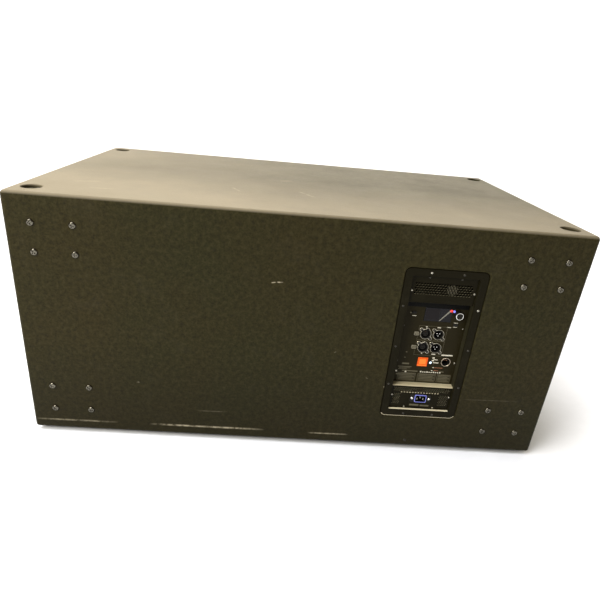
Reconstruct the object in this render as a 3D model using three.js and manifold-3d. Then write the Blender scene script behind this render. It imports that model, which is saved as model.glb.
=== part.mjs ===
// Powered double 18-inch bass cabinet with a rear amplifier plate.
// Millimetres, +Z up. The origin is on the floor under the middle of the cabinet.
// The grille faces -Y, the amplifier plate faces +Y and +X is to the right seen from the grille.

import * as THREE from 'three';
import { RoundedBoxGeometry } from 'three/addons/geometries/RoundedBoxGeometry.js';
import { mergeVertices } from 'three/addons/utils/BufferGeometryUtils.js';
import Module from 'manifold-3d';

const wasm = await Module();
wasm.setup();

// ---------------------------------------------------------------- driving dimensions

const CABINET = { width: 1184, depth: 686, height: 550, edgeRadius: 8 };
const WALL = 18; // birch plywood panels
const FOOT = { radius: 18, height: 8 };
const GAP = 0.25; // between glued panels and between neighbours that touch
const CLEARANCE = 0.3; // round pieces that sit in a cut-out

// Stacking cups in the top, over the feet.
const CUP = { radius: 20, depth: 6, sideInset: 39, endInset: 51 };

// Four caster positions on the rear face, so that the cabinet rolls standing on its grille side.
const CASTER = { insetX: 92, topInset: 88.8, bottomInset: 86.8, pitchX: 80, pitchZ: 60 };
const SCREW = { headRadius: 7, headHeight: 3, shank: 4, hole: 4.4, segments: 8 };
const CASTER_PLATE = { width: 104, height: 84, thickness: 4 };

// Bass drivers behind the grille.
const BAFFLE = { thickness: 24, recess: 39 };
const DRIVER = { offsetX: 304, cutOut: 211, flange: 233, coneRadius: 190, coilRadius: 50 };
const PORT = { width: 70, length: 300 };
const GRILLE = { proud: 3, sheet: 1.5, flange: 22, foam: 8 };

// Amplifier plate, seen from behind: x to the viewer's right, y into the cabinet, z up.
const AMP = { centreX: -296, centreZ: 271, width: 178, height: 370, cornerRadius: 12 };
const AMP_FACE_DEPTH = 1.5;
const SHEET = 2; // steel sheet of the amplifier's plates
const AMP_WINDOW = { halfWidth: 71.5, bottom: -166, top: 168 };
const AMP_REBATE_DEPTH = 6.3;
const HOOD_DEPTH = 7.5; // face of the upper and lower panels below the wood
const CONTROL_DEPTH = 22; // face of the recessed control panel
const HOOD_BOTTOM = 105;
const LEDGE_TOP = -102;
const CHASSIS = { halfWidth: 76, bottom: -171, top: 173, back: 120 };
const HOUSING_WALL = 12;

const XLR_PLACE = { femaleX: -13.5, maleX: 15.5, upperZ: 25, lowerZ: -9 };
const XLR = { flangeRadius: 12.8, barrel: 11, bore: 9, depth: 16.5, ear: 4.2, earX: 11.6, earZ: 11 };
const XLR_LOBE = { x: 3, z: 10.6, radius: 4.6 }; // over the latch of an input socket
const LATCH = { x: -34.1, width: 11.2, height: 9 };
const KNOB = { x: 48.4, z: 78.4, radius: 9, front: 8, back: 19.7 };
const BUTTON = { width: 10, height: 6 };
const BACK_BUTTON = { x: 48.7, z: 51.3 };
const POWER_BUTTON = { x: -48.4, z: 75.8 };
const DISPLAY = { left: -25, right: 36, bottom: 57, top: 89.5 };
const NETWORK = { x: 45.8, z: -43.3, radius: 11.2, bore: 9 };
const BADGE = { x: -7.3, z: -46.5, side: 23 };
const INLET = { z: -135.5, width: 27.4, height: 19.6, screwPitch: 40 };
const INLET_CAVITY = { width: 24, height: 16.4 };
const INLET_BODY = { width: 28, height: 20.4, back: 34, floor: 20 };
const INLET_BLADES = [{ x: -7, z: -2 }, { x: 0, z: 2 }, { x: 7, z: -2 }];
const SOCKET_BACK = 45.7; // rear end of every signal socket
const FAN = { x: 20, z: 137.3, side: 59.6, depth: 20, bore: 28, front: 9.9 };

// ---------------------------------------------------------------- solids

function toSolid(geometry) {
  const bare = geometry.clone();
  bare.deleteAttribute('normal');
  bare.deleteAttribute('uv');
  const merged = mergeVertices(bare, 1e-4);
  const vertProperties = new Float32Array(merged.attributes.position.array);
  const triVerts = new Uint32Array(merged.index.array);
  return new wasm.Manifold(new wasm.Mesh({ numProp: 3, vertProperties, triVerts }));
}

function toGeometry(solid) {
  const mesh = solid.getMesh();
  const geometry = new THREE.BufferGeometry();
  geometry.setAttribute('position', new THREE.BufferAttribute(new Float32Array(mesh.vertProperties), 3));
  geometry.setIndex(new THREE.BufferAttribute(new Uint32Array(mesh.triVerts), 1));
  geometry.computeVertexNormals();
  return geometry;
}

function box(x0, x1, y0, y1, z0, z1) {
  const geometry = new THREE.BoxGeometry(x1 - x0, y1 - y0, z1 - z0);
  geometry.translate((x0 + x1) / 2, (y0 + y1) / 2, (z0 + z1) / 2);
  return toSolid(geometry);
}

// A box centred at x and z, between two depths.
function slab(x, z, width, height, y0, y1) {
  return box(x - width / 2, x + width / 2, y0, y1, z - height / 2, z + height / 2);
}

// Cylinder along Y between two depths.
function rodY(x, z, radius, y0, y1, segments = 20) {
  const geometry = new THREE.CylinderGeometry(radius, radius, y1 - y0, segments);
  geometry.translate(x, (y0 + y1) / 2, z);
  return toSolid(geometry);
}

function rodX(y, z, radius, x0, x1, segments = 16) {
  const geometry = new THREE.CylinderGeometry(radius, radius, x1 - x0, segments);
  geometry.rotateZ(Math.PI / 2);
  geometry.translate((x0 + x1) / 2, y, z);
  return toSolid(geometry);
}

function rodZ(x, y, radius, z0, z1, segments = 20) {
  const geometry = new THREE.CylinderGeometry(radius, radius, z1 - z0, segments);
  geometry.rotateX(Math.PI / 2);
  geometry.translate(x, y, (z0 + z1) / 2);
  return toSolid(geometry);
}

// Solid of revolution about a line along Y.
// The profile is [radius, y] pairs, from axis to axis or round a ring.
function turnY(x, z, profile, segments) {
  const points = profile.map(([radius, y]) => new THREE.Vector2(radius, y));
  if (profile[0][0] > 0) {
    points.push(points[0].clone());
  }
  const geometry = new THREE.LatheGeometry(points, segments);
  geometry.translate(x, 0, z);
  const solid = toSolid(geometry);
  return solid.volume() > 0 ? solid : toSolid(flipped(geometry));
}

function flipped(geometry) {
  const index = geometry.index.array;
  for (let i = 0; i < index.length; i += 3) {
    [index[i], index[i + 1]] = [index[i + 1], index[i]];
  }
  return geometry;
}

// Rounded rectangle in X and Z, extruded from y0 to y1.
function plate(x, z, width, height, radius, y0, y1, curveSegments = 4) {
  const [w, h] = [width / 2, height / 2];
  const shape = new THREE.Shape();
  shape.moveTo(-w + radius, -h);
  shape.lineTo(w - radius, -h);
  shape.absarc(w - radius, -h + radius, radius, -Math.PI / 2, 0, false);
  shape.absarc(w - radius, h - radius, radius, 0, Math.PI / 2, false);
  shape.absarc(-w + radius, h - radius, radius, Math.PI / 2, Math.PI, false);
  shape.absarc(-w + radius, -h + radius, radius, Math.PI, Math.PI * 1.5, false);
  const geometry = new THREE.ExtrudeGeometry(shape, { depth: y1 - y0, bevelEnabled: false, curveSegments });
  geometry.rotateX(Math.PI / 2);
  geometry.translate(x, y1, z);
  return toSolid(geometry);
}

function joined(...solids) {
  return solids.reduce((sum, solid) => sum.add(solid));
}

// ---------------------------------------------------------------- scene graph

const model = new THREE.Group();

// The amplifier's own frame, seen from behind the cabinet.
const amp = new THREE.Group();
amp.position.set(AMP.centreX, CABINET.depth / 2, FOOT.height + AMP.centreZ);
amp.rotation.z = Math.PI;
model.add(amp);

const finishes = {
  paint: { color: 0x2b271c, roughness: 0.62, metalness: 0 },
  ply: { color: 0xa98558, roughness: 0.8, metalness: 0 },
  sheetMetal: { color: 0x1d1b15, roughness: 0.5, metalness: 0.4 },
  grille: { color: 0x15140f, roughness: 0.5, metalness: 0.5 },
  foam: { color: 0x0c0c0c, roughness: 1, metalness: 0 },
  rubber: { color: 0x101010, roughness: 0.85, metalness: 0 },
  blackPlastic: { color: 0x14130f, roughness: 0.45, metalness: 0 },
  greyPlastic: { color: 0x8f8d83, roughness: 0.45, metalness: 0 },
  steel: { color: 0x9a9a98, roughness: 0.35, metalness: 1 },
  castAluminium: { color: 0x6a6a6a, roughness: 0.5, metalness: 0.9 },
  ferrite: { color: 0x333333, roughness: 0.6, metalness: 0.6 },
  paper: { color: 0x191917, roughness: 0.9, metalness: 0 },
  cloth: { color: 0x3b2f1c, roughness: 0.9, metalness: 0 },
  copper: { color: 0x9a5a34, roughness: 0.4, metalness: 0.9 },
  glassBlack: { color: 0x0a0c10, roughness: 0.1, metalness: 0 },
  orange: { color: 0xe8762c, roughness: 0.4, metalness: 0 },
  circuit: { color: 0x1f4d33, roughness: 0.6, metalness: 0 },
};

function addMesh(name, solid, finish, parent = model) {
  const mesh = new THREE.Mesh(toGeometry(solid), new THREE.MeshStandardMaterial(finishes[finish]));
  mesh.name = name;
  parent.add(mesh);
  return mesh;
}

// ---------------------------------------------------------------- cabinet

const HALF = { x: CABINET.width / 2, y: CABINET.depth / 2 };
const FLOOR = FOOT.height;
const ROOF = FOOT.height + CABINET.height;
const INNER = { x: HALF.x - WALL, bottom: FLOOR + WALL, top: ROOF - WALL };
const CUP_X = HALF.x - CUP.sideInset;
const CUP_Y = HALF.y - CUP.endInset;
const SIDES = [
  { name: 'left', sign: -1 },
  { name: 'right', sign: 1 },
];
const BEYOND = 5; // cutting tools run this far past what they cut

// The whole outside as one rounded block, from which the outer panels are cut.
function outerBlock() {
  const { width, depth, height, edgeRadius } = CABINET;
  const geometry = new RoundedBoxGeometry(width, depth, height, 2, edgeRadius);
  geometry.translate(0, 0, (FLOOR + ROOF) / 2);
  return toSolid(geometry);
}

function horizontalPanel(z0, z1) {
  const band = box(-HALF.x - BEYOND, HALF.x + BEYOND, -HALF.y - BEYOND, HALF.y + BEYOND, z0, z1);
  return outerBlock().intersect(band);
}

let topPanel = horizontalPanel(INNER.top, ROOF + BEYOND);
for (const sx of [-1, 1]) {
  for (const sy of [-1, 1]) {
    const cup = rodZ(sx * CUP_X, sy * CUP_Y, CUP.radius, ROOF - CUP.depth, ROOF + BEYOND, 24);
    topPanel = topPanel.subtract(cup);
  }
}
addMesh('top_panel', topPanel, 'paint');
addMesh('bottom_panel', horizontalPanel(FLOOR - BEYOND, INNER.bottom), 'paint');

// Hand-holds: a moulded pocket with a grip bar, let into the side, two on each side.
const HANDLE = { y: 165, z: 294, length: 190, height: 110, flange: 3, wall: 3 };
const POCKET = { length: 160, height: 84, depth: 60 };
const GRIP = { radius: 12, rise: 14, depth: 14 };

function sidePanel(sign) {
  const x = [sign * INNER.x, sign * (HALF.x + BEYOND)].sort((a, b) => a - b);
  const band = box(
    x[0], x[1], -HALF.y - BEYOND, HALF.y + BEYOND, INNER.bottom + GAP, INNER.top - GAP,
  );
  let panel = outerBlock().intersect(band);
  for (const sy of [-1, 1]) {
    const hole = handleBlock(POCKET.length + 2, POCKET.height + 2, sign, -BEYOND, WALL + BEYOND, sy);
    const rebate = handleBlock(HANDLE.length + 1, HANDLE.height + 1, sign, -BEYOND, HANDLE.flange + GAP, sy);
    panel = panel.subtract(hole).subtract(rebate);
  }
  return panel;
}

// A block centred on a hand-hold, between two depths below the side's outer face.
function handleBlock(length, height, sign, depth0, depth1, sy) {
  const x = [sign * (HALF.x - depth0), sign * (HALF.x - depth1)].sort((a, b) => a - b);
  const y = sy * HANDLE.y;
  return box(x[0], x[1], y - length / 2, y + length / 2, HANDLE.z - height / 2, HANDLE.z + height / 2);
}

function handle(sign, sy) {
  const flange = handleBlock(HANDLE.length, HANDLE.height, sign, 0, HANDLE.flange, sy);
  const cup = handleBlock(POCKET.length, POCKET.height, sign, 0, POCKET.depth, sy);
  const walls = 2 * HANDLE.wall;
  const hollow = handleBlock(
    POCKET.length - walls, POCKET.height - walls, sign, -BEYOND, POCKET.depth - HANDLE.wall, sy,
  );
  const bar = new THREE.CylinderGeometry(GRIP.radius, GRIP.radius, POCKET.length - HANDLE.wall, 12);
  bar.translate(sign * (HALF.x - GRIP.depth), sy * HANDLE.y, HANDLE.z + GRIP.rise);
  return joined(flange, cup).subtract(hollow).add(toSolid(bar));
}

for (const side of SIDES) {
  addMesh(`${side.name}_side_panel`, sidePanel(side.sign), 'paint');
  addMesh(`${side.name}_front_handle`, handle(side.sign, -1), 'blackPlastic');
  addMesh(`${side.name}_rear_handle`, handle(side.sign, 1), 'blackPlastic');
}

// ---------------------------------------------------------------- rear panel and casters' screws

const CASTER_POINTS = [];
for (const side of SIDES) {
  const x = side.sign * (HALF.x - CASTER.insetX);
  CASTER_POINTS.push({ name: `top_${side.name}`, x, z: ROOF - CASTER.topInset });
  CASTER_POINTS.push({ name: `bottom_${side.name}`, x, z: FLOOR + CASTER.bottomInset });
}
function casterCorners(point) {
  const corners = [];
  for (const sx of [-1, 1]) {
    for (const sz of [-1, 1]) {
      corners.push([point.x + (sx * CASTER.pitchX) / 2, point.z + (sz * CASTER.pitchZ) / 2]);
    }
  }
  return corners;
}

function rearPanel() {
  const x = INNER.x - GAP;
  let panel = box(-x, x, HALF.y - WALL, HALF.y, INNER.bottom + GAP, INNER.top - GAP);
  const ampZ = FLOOR + AMP.centreZ;
  const rebateFloor = HALF.y - AMP_REBATE_DEPTH;
  const rebate = plate(
    AMP.centreX, ampZ, AMP.width + 2, AMP.height + 2, AMP.cornerRadius + 1, rebateFloor, HALF.y + BEYOND,
  );
  const chassisMiddle = ampZ + (CHASSIS.bottom + CHASSIS.top) / 2;
  const opening = slab(
    AMP.centreX, chassisMiddle, 2 * CHASSIS.halfWidth + 2, CHASSIS.top - CHASSIS.bottom + 2,
    HALF.y - WALL - BEYOND, HALF.y,
  );
  panel = panel.subtract(rebate).subtract(opening);
  for (const point of CASTER_POINTS) {
    for (const [px, pz] of casterCorners(point)) {
      const hole = rodY(px, pz, SCREW.hole, HALF.y - WALL - BEYOND, HALF.y + BEYOND, SCREW.segments);
      panel = panel.subtract(hole);
    }
  }
  return panel;
}
addMesh('rear_panel', rearPanel(), 'paint');

// Each caster position is blanked by four pan-head screws in a steel plate inside the cabinet.
function casterScrews(point) {
  const inside = HALF.y - WALL - GAP;
  let solid = slab(
    point.x, point.z, CASTER_PLATE.width, CASTER_PLATE.height, inside - CASTER_PLATE.thickness, inside,
  );
  for (const [x, z] of casterCorners(point)) {
    const profile = [
      [0, inside - 1],
      [SCREW.shank, inside - 1],
      [SCREW.shank, HALF.y + CLEARANCE],
      [SCREW.headRadius, HALF.y + CLEARANCE],
      [SCREW.headRadius * 0.86, HALF.y + SCREW.headHeight * 0.8],
      [SCREW.headRadius * 0.5, HALF.y + SCREW.headHeight],
      [0, HALF.y + SCREW.headHeight],
    ];
    solid = solid.add(turnY(x, z, profile, SCREW.segments));
  }
  return solid;
}
for (const point of CASTER_POINTS) {
  addMesh(`caster_screws_${point.name}`, casterScrews(point), 'steel');
}

// ---------------------------------------------------------------- feet

for (const [row, sy] of [['front', -1], ['rear', 1]]) {
  for (const side of SIDES) {
    const profile = [
      new THREE.Vector2(0, 0),
      new THREE.Vector2(FOOT.radius - 2, 0),
      new THREE.Vector2(FOOT.radius - 1, 1),
      new THREE.Vector2(FOOT.radius, FOOT.height - GAP),
      new THREE.Vector2(0, FOOT.height - GAP),
    ];
    const geometry = new THREE.LatheGeometry(profile, 20);
    geometry.rotateX(Math.PI / 2);
    geometry.translate(side.sign * CUP_X, sy * CUP_Y, 0);
    addMesh(`${row}_${side.name}_foot`, toSolid(geometry), 'rubber');
  }
}

// ---------------------------------------------------------------- baffle, port and brace

const BAFFLE_FRONT = -HALF.y + BAFFLE.recess;
const BAFFLE_BACK = BAFFLE_FRONT + BAFFLE.thickness;
const MIDDLE_Z = (INNER.bottom + INNER.top) / 2;
const PORT_INNER_HEIGHT = INNER.top - INNER.bottom - 2 * WALL;

function frontBaffle() {
  const x = INNER.x - GAP;
  let panel = box(-x, x, BAFFLE_FRONT, BAFFLE_BACK, INNER.bottom + GAP, INNER.top - GAP);
  for (const side of SIDES) {
    const hole = rodY(
      side.sign * DRIVER.offsetX, MIDDLE_Z, DRIVER.cutOut, BAFFLE_FRONT - BEYOND, BAFFLE_BACK + BEYOND, 32,
    );
    panel = panel.subtract(hole);
  }
  const slot = slab(0, MIDDLE_Z, PORT.width, PORT_INNER_HEIGHT, BAFFLE_FRONT - BEYOND, BAFFLE_BACK + BEYOND);
  return panel.subtract(slot);
}
addMesh('front_baffle', frontBaffle(), 'paint');

for (const side of SIDES) {
  const x = [side.sign * (PORT.width / 2), side.sign * (PORT.width / 2 + WALL)].sort((a, b) => a - b);
  const wall = box(
    x[0], x[1], BAFFLE_BACK + GAP, BAFFLE_BACK + PORT.length, INNER.bottom + GAP, INNER.top - GAP,
  );
  addMesh(`port_wall_${side.name}`, wall, 'ply');
}

function centreBrace() {
  const y0 = BAFFLE_BACK + PORT.length + 40;
  const y1 = HALF.y - WALL - GAP;
  let panel = box(-WALL / 2, WALL / 2, y0, y1, INNER.bottom + GAP, INNER.top - GAP);
  const holeRadius = 50;
  for (const step of [-1, 0, 1]) {
    panel = panel.subtract(
      rodX((y0 + y1) / 2, MIDDLE_Z + step * 150, holeRadius, -WALL, WALL, 16),
    );
  }
  return panel;
}
addMesh('centre_brace', centreBrace(), 'ply');

// ---------------------------------------------------------------- grille and its foam

function grille() {
  const x = INNER.x - 1.5;
  const z0 = INNER.bottom + 1.5;
  const z1 = INNER.top - 1.5;
  const front = -HALF.y - GRILLE.proud;
  const back = front + GRILLE.flange;
  const tray = box(-x, x, front, back, z0, z1);
  const t = GRILLE.sheet;
  return tray.subtract(box(-x + t, x - t, front + t, back + BEYOND, z0 + t, z1 - t));
}
addMesh('grille', grille(), 'grille');

const FOAM_FRONT = -HALF.y - GRILLE.proud + GRILLE.sheet + GAP;
addMesh(
  'grille_foam',
  box(-INNER.x + 4, INNER.x - 4, FOAM_FRONT, FOAM_FRONT + GRILLE.foam, INNER.bottom + 4, INNER.top - 4),
  'foam',
);

// ---------------------------------------------------------------- bass drivers

// Depths are counted from the front of the baffle, into the cabinet.
function addDriver(side) {
  const x = side.sign * DRIVER.offsetX;
  const at = (profile) => profile.map(([radius, depth]) => [radius, BAFFLE_FRONT + depth]);
  const part = (name, profile, finish, segments = 28) => {
    addMesh(`${name}_${side.name}`, turnY(x, MIDDLE_Z, at(profile), segments), finish);
  };
  const coil = DRIVER.coilRadius;

  part('basket', [
    [214, -GAP - 8], [DRIVER.flange, -GAP - 8], [DRIVER.flange, -GAP], [206, -GAP], [198, 40], [112, 112],
    [112, 134], [62, 134], [62, 130], [107, 130], [107, 110], [193, 38], [201, -1], [214, -2],
  ], 'castAluminium');

  part('motor', [
    [0, 206], [92, 206], [108, 196], [108, 134.3], [coil + 4, 134.3], [coil + 4, 196], [coil - 2, 196],
    [coil - 2, 130], [0, 130],
  ], 'ferrite');

  part('cone', [
    [0, 44], [40, 50], [72, 66], [DRIVER.coneRadius - 2, 3], [DRIVER.coneRadius, 5],
    [75, 71], [coil + 1.5, 84], [coil - 1, 84], [68, 68.5], [38, 53], [0, 47],
  ], 'paper');

  part('surround', [
    [DRIVER.coneRadius + 0.5, 1], [DRIVER.coneRadius + 4, -8], [DRIVER.coneRadius + 10, -12],
    [DRIVER.coneRadius + 16, -8.5], [DRIVER.coneRadius + 23.5, -8.5], [DRIVER.coneRadius + 23.5, -6.5],
    [DRIVER.coneRadius + 16, -6], [DRIVER.coneRadius + 10, -10], [DRIVER.coneRadius + 5.5, -7],
    [DRIVER.coneRadius + 2, 1.5],
  ], 'rubber');

  part('spider', [
    [coil + 2.2, 108], [106, 108], [106, 109.5], [coil + 2.2, 109.5],
  ], 'cloth');

  part('voice_coil', [
    [coil - 0.3, 84.3], [coil + 1.6, 84.3], [coil + 1.6, 172], [coil - 0.3, 172],
  ], 'copper');
}
SIDES.forEach(addDriver);

// ---------------------------------------------------------------- amplifier: plates

const ampPart = (name, solid, finish) => addMesh(name, solid, finish, amp);
const WINDOW_WIDTH = 2 * AMP_WINDOW.halfWidth;

function ampBezel() {
  const back = AMP_REBATE_DEPTH - CLEARANCE;
  const frame = plate(0, 0, AMP.width, AMP.height, AMP.cornerRadius, AMP_FACE_DEPTH, back);
  const middle = (AMP_WINDOW.bottom + AMP_WINDOW.top) / 2;
  const height = AMP_WINDOW.top - AMP_WINDOW.bottom;
  const window = plate(0, middle, WINDOW_WIDTH, height, 3, -BEYOND, back + BEYOND, 2);
  return frame.subtract(window);
}
ampPart('amp_bezel', ampBezel(), 'sheetMetal');

// Folded tray behind the plate, open towards the bezel.
function ampChassis() {
  const { halfWidth, bottom, top, back } = CHASSIS;
  const front = AMP_REBATE_DEPTH;
  const tray = box(-halfWidth, halfWidth, front, back, bottom, top);
  return tray.subtract(
    box(-halfWidth + SHEET, halfWidth - SHEET, front - BEYOND, back - SHEET, bottom + SHEET, top - SHEET),
  );
}
ampPart('amp_chassis', ampChassis(), 'sheetMetal');

// Sealed wooden box that keeps the bass pressure off the amplifier.
function ampHousing() {
  const front = WALL + GAP;
  const air = 4;
  const inner = {
    x: CHASSIS.halfWidth + air,
    y: CHASSIS.back + 15,
    z0: CHASSIS.bottom - air,
    z1: CHASSIS.top + air,
  };
  const w = HOUSING_WALL;
  const outer = box(-inner.x - w, inner.x + w, front, inner.y + w, inner.z0 - w, inner.z1 + w);
  return outer.subtract(box(-inner.x, inner.x, front - BEYOND, inner.y, inner.z0, inner.z1));
}
ampPart('amp_housing', ampHousing(), 'ply');

const PANEL_HALF = AMP_WINDOW.halfWidth - CLEARANCE;

// Upper panel: a folded hood with rows of air slots.
function ventHood() {
  const top = AMP_WINDOW.top - CLEARANCE;
  const y = HOOD_DEPTH;
  const t = SHEET;
  let hood = joined(
    box(-PANEL_HALF, PANEL_HALF, y, y + t, HOOD_BOTTOM, top),
    box(-PANEL_HALF, PANEL_HALF, y, CONTROL_DEPTH - CLEARANCE, HOOD_BOTTOM, HOOD_BOTTOM + t),
  );
  const rows = 5;
  const rowPitch = 5.38;
  const slots = 5;
  const slotPitch = 25;
  for (let row = 0; row < rows; row += 1) {
    const z = FAN.z + 1.2 + (row - (rows - 1) / 2) * rowPitch;
    for (let slot = 0; slot < slots; slot += 1) {
      const x = (slot - (slots - 1) / 2) * slotPitch;
      hood = hood.subtract(slab(x, z, slotPitch - 2, 3.6, y - BEYOND, y + t + BEYOND));
    }
  }
  return hood;
}
ampPart('vent_hood', ventHood(), 'sheetMetal');

// Lower panel: a ledge and a face with the mains inlet between its air slots.
function lowerPanel() {
  const bottom = AMP_WINDOW.bottom + CLEARANCE;
  const y = HOOD_DEPTH;
  const t = SHEET;
  let panel = joined(
    box(-PANEL_HALF, PANEL_HALF, y, y + t, bottom, LEDGE_TOP),
    box(-PANEL_HALF, PANEL_HALF, y, CONTROL_DEPTH - CLEARANCE, LEDGE_TOP - t, LEDGE_TOP),
  );
  const cut = (x, z, width, height) => {
    panel = panel.subtract(slab(x, z, width, height, y - BEYOND, y + t + BEYOND));
  };
  cut(0, INLET.z, INLET_BODY.width + 2 * CLEARANCE, INLET_BODY.height + 2 * CLEARANCE);
  for (const z of [-108.2, -113.4, -118.6]) {
    for (const step of [-2, -1, 0, 1, 2]) {
      cut(step * 25, z, 23, 3);
    }
  }
  for (const sign of [-1, 1]) {
    for (let row = 0; row < 6; row += 1) {
      cut(sign * 57, -125 - row * 5.6, 17, 3);
    }
  }
  return panel;
}
ampPart('lower_panel', lowerPanel(), 'sheetMetal');

// Recessed control panel with a cut-out for every connector, key and window.
const STEM = { width: BUTTON.width + 0.6, height: BUTTON.height + 0.6 };
const BUTTONS = [
  { name: 'back_button', ...BACK_BUTTON },
  { name: 'power_button', ...POWER_BUTTON },
];
const XLRS = [
  { name: 'xlr_input_a', x: XLR_PLACE.femaleX, z: XLR_PLACE.upperZ, male: false },
  { name: 'xlr_input_b', x: XLR_PLACE.femaleX, z: XLR_PLACE.lowerZ, male: false },
  { name: 'xlr_thru_a', x: XLR_PLACE.maleX, z: XLR_PLACE.upperZ, male: true },
  { name: 'xlr_thru_b', x: XLR_PLACE.maleX, z: XLR_PLACE.lowerZ, male: true },
];

function controlPanel() {
  const y0 = CONTROL_DEPTH;
  const y1 = y0 + SHEET;
  let panel = box(-PANEL_HALF, PANEL_HALF, y0, y1, LEDGE_TOP + CLEARANCE, HOOD_BOTTOM - CLEARANCE);
  const cut = (tool) => {
    panel = panel.subtract(tool);
  };
  const [a, b] = [y0 - BEYOND, y1 + BEYOND];
  for (const xlr of XLRS) {
    cut(rodY(xlr.x, xlr.z, XLR.barrel + CLEARANCE, a, b, 16));
  }
  cut(rodY(NETWORK.x, NETWORK.z, NETWORK.radius - 1 + CLEARANCE, a, b, 16));
  cut(rodY(KNOB.x, KNOB.z, 3.9, a, b, 12));
  cut(box(DISPLAY.left - 0.3, DISPLAY.right + 0.3, a, b, DISPLAY.bottom - 0.3, DISPLAY.top + 0.3));
  for (const button of BUTTONS) {
    cut(plate(button.x, button.z, STEM.width, STEM.height, 3.2, a, b, 3));
  }
  for (const z of [XLR_PLACE.upperZ, XLR_PLACE.lowerZ]) {
    cut(slab(LATCH.x, z, LATCH.width + 0.6, LATCH.height + 0.6, a, b));
  }
  return panel;
}
ampPart('control_panel', controlPanel(), 'sheetMetal');

// ---------------------------------------------------------------- amplifier: display, keys and knob

const displayMiddle = { x: (DISPLAY.left + DISPLAY.right) / 2, z: (DISPLAY.bottom + DISPLAY.top) / 2 };
ampPart(
  'display_window',
  slab(
    displayMiddle.x, displayMiddle.z, DISPLAY.right - DISPLAY.left, DISPLAY.top - DISPLAY.bottom,
    CONTROL_DEPTH - 0.6, CONTROL_DEPTH + SHEET,
  ),
  'glassBlack',
);

// A key: rounded cap through the panel and a wider collar behind that keeps it in.
for (const button of BUTTONS) {
  const cap = plate(button.x, button.z, BUTTON.width, BUTTON.height, 2.9, CONTROL_DEPTH - 1.8, 25, 3);
  const collar = slab(button.x, button.z, BUTTON.width + 3, BUTTON.height + 3, 24.4, 25.6);
  ampPart(button.name, cap.add(collar), 'rubber');
}

// Release tabs of the two locking input sockets.
for (const [name, z] of [['latch_a', XLR_PLACE.upperZ], ['latch_b', XLR_PLACE.lowerZ]]) {
  const tab = slab(LATCH.x, z, LATCH.width, LATCH.height, CONTROL_DEPTH - 2, 25);
  const collar = slab(LATCH.x, z, LATCH.width + 2.4, LATCH.height + 3, 24.4, 25.6);
  ampPart(name, tab.add(collar), 'greyPlastic');
}

// Board behind the panel with the encoder's can and bush, the display's back and two key switches.
const SHAFT = { radius: 3, bore: 3.3, front: 10, back: 34 };
function keypadBoard() {
  const boardFront = 33;
  let solid = joined(
    box(-60, 62, boardFront, boardFront + 1.6, 44, 97),
    slab(KNOB.x, KNOB.z, 14, 13, 24.6, boardFront + 0.5),
    rodY(KNOB.x, KNOB.z, 3.6, CONTROL_DEPTH - 1, 25, 12),
    slab(displayMiddle.x, displayMiddle.z, 56, 28, 24.6, boardFront + 0.5),
  );
  for (const button of BUTTONS) {
    solid = solid.add(slab(button.x, button.z, 6, 6, 28.5, boardFront + 0.5));
  }
  return solid.subtract(rodY(KNOB.x, KNOB.z, SHAFT.bore, CONTROL_DEPTH - BEYOND, 40, 12));
}
ampPart('keypad_board', keypadBoard(), 'circuit');
ampPart('encoder_shaft', rodY(KNOB.x, KNOB.z, SHAFT.radius, SHAFT.front, SHAFT.back, 12), 'steel');

ampPart('encoder_knob', turnY(KNOB.x, KNOB.z, [
  [0, KNOB.front], [6.2, KNOB.front], [7.6, KNOB.front + 0.7], [KNOB.radius - 0.6, KNOB.front + 1.2],
  [KNOB.radius, KNOB.front + 3], [KNOB.radius, KNOB.back], [SHAFT.bore, KNOB.back],
  [SHAFT.bore, SHAFT.front - 0.3], [0, SHAFT.front - 0.3],
], 20), 'blackPlastic');

// ---------------------------------------------------------------- amplifier: sockets

const PIN = { circle: 3.6, radius: 1, length: 12 };

// Round three-pole socket with two fixing ears on a diagonal.
function xlrSocket({ x, z, male }) {
  const face = CONTROL_DEPTH - 1.4;
  const under = CONTROL_DEPTH - CLEARANCE;
  let solid = joined(
    rodY(x, z, XLR.flangeRadius, face, under, 18),
    rodY(x, z, XLR.barrel, face, SOCKET_BACK, 18),
  );
  for (const sign of [-1, 1]) {
    solid = solid.add(rodY(x + sign * XLR.earX, z - sign * XLR.earZ, XLR.ear, face, under, 10));
  }
  if (!male) {
    solid = solid.add(rodY(x + XLR_LOBE.x, z + XLR_LOBE.z, XLR_LOBE.radius, face, under, 12));
  }
  const floor = face + XLR.depth;
  solid = solid.subtract(rodY(x, z, XLR.bore, face - BEYOND, floor, 16));
  if (male) {
    for (const angle of [30, 150, 270]) {
      const [px, pz] = [x + PIN.circle * cosDegrees(angle), z + PIN.circle * sinDegrees(angle)];
      solid = solid.add(rodY(px, pz, PIN.radius, floor - PIN.length, floor + 1, 6));
    }
    return solid;
  }
  // The plug's shell slides round this insert.
  const insert = rodY(x, z, 6.4, face + 6.5, floor + 1, 12);
  return solid.add(insert.subtract(rodY(x, z, 3.2, face, floor - 2, 8)));
}

function cosDegrees(angle) {
  return Math.cos(THREE.MathUtils.degToRad(angle));
}

function sinDegrees(angle) {
  return Math.sin(THREE.MathUtils.degToRad(angle));
}

for (const xlr of XLRS) {
  ampPart(xlr.name, xlrSocket(xlr), 'steel');
}

function networkSocket() {
  const { x, z, radius, bore } = NETWORK;
  const face = CONTROL_DEPTH - 2.2;
  let solid = joined(
    rodY(x, z, radius, face, CONTROL_DEPTH - CLEARANCE, 18),
    rodY(x, z, radius - 1, face, SOCKET_BACK, 18),
  );
  solid = solid.subtract(rodY(x, z, bore, face - BEYOND, face + 3, 16));
  return solid.subtract(slab(x, z - 0.5, 12, 9.6, face, face + 15));
}
ampPart('network_socket', networkSocket(), 'steel');

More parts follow.
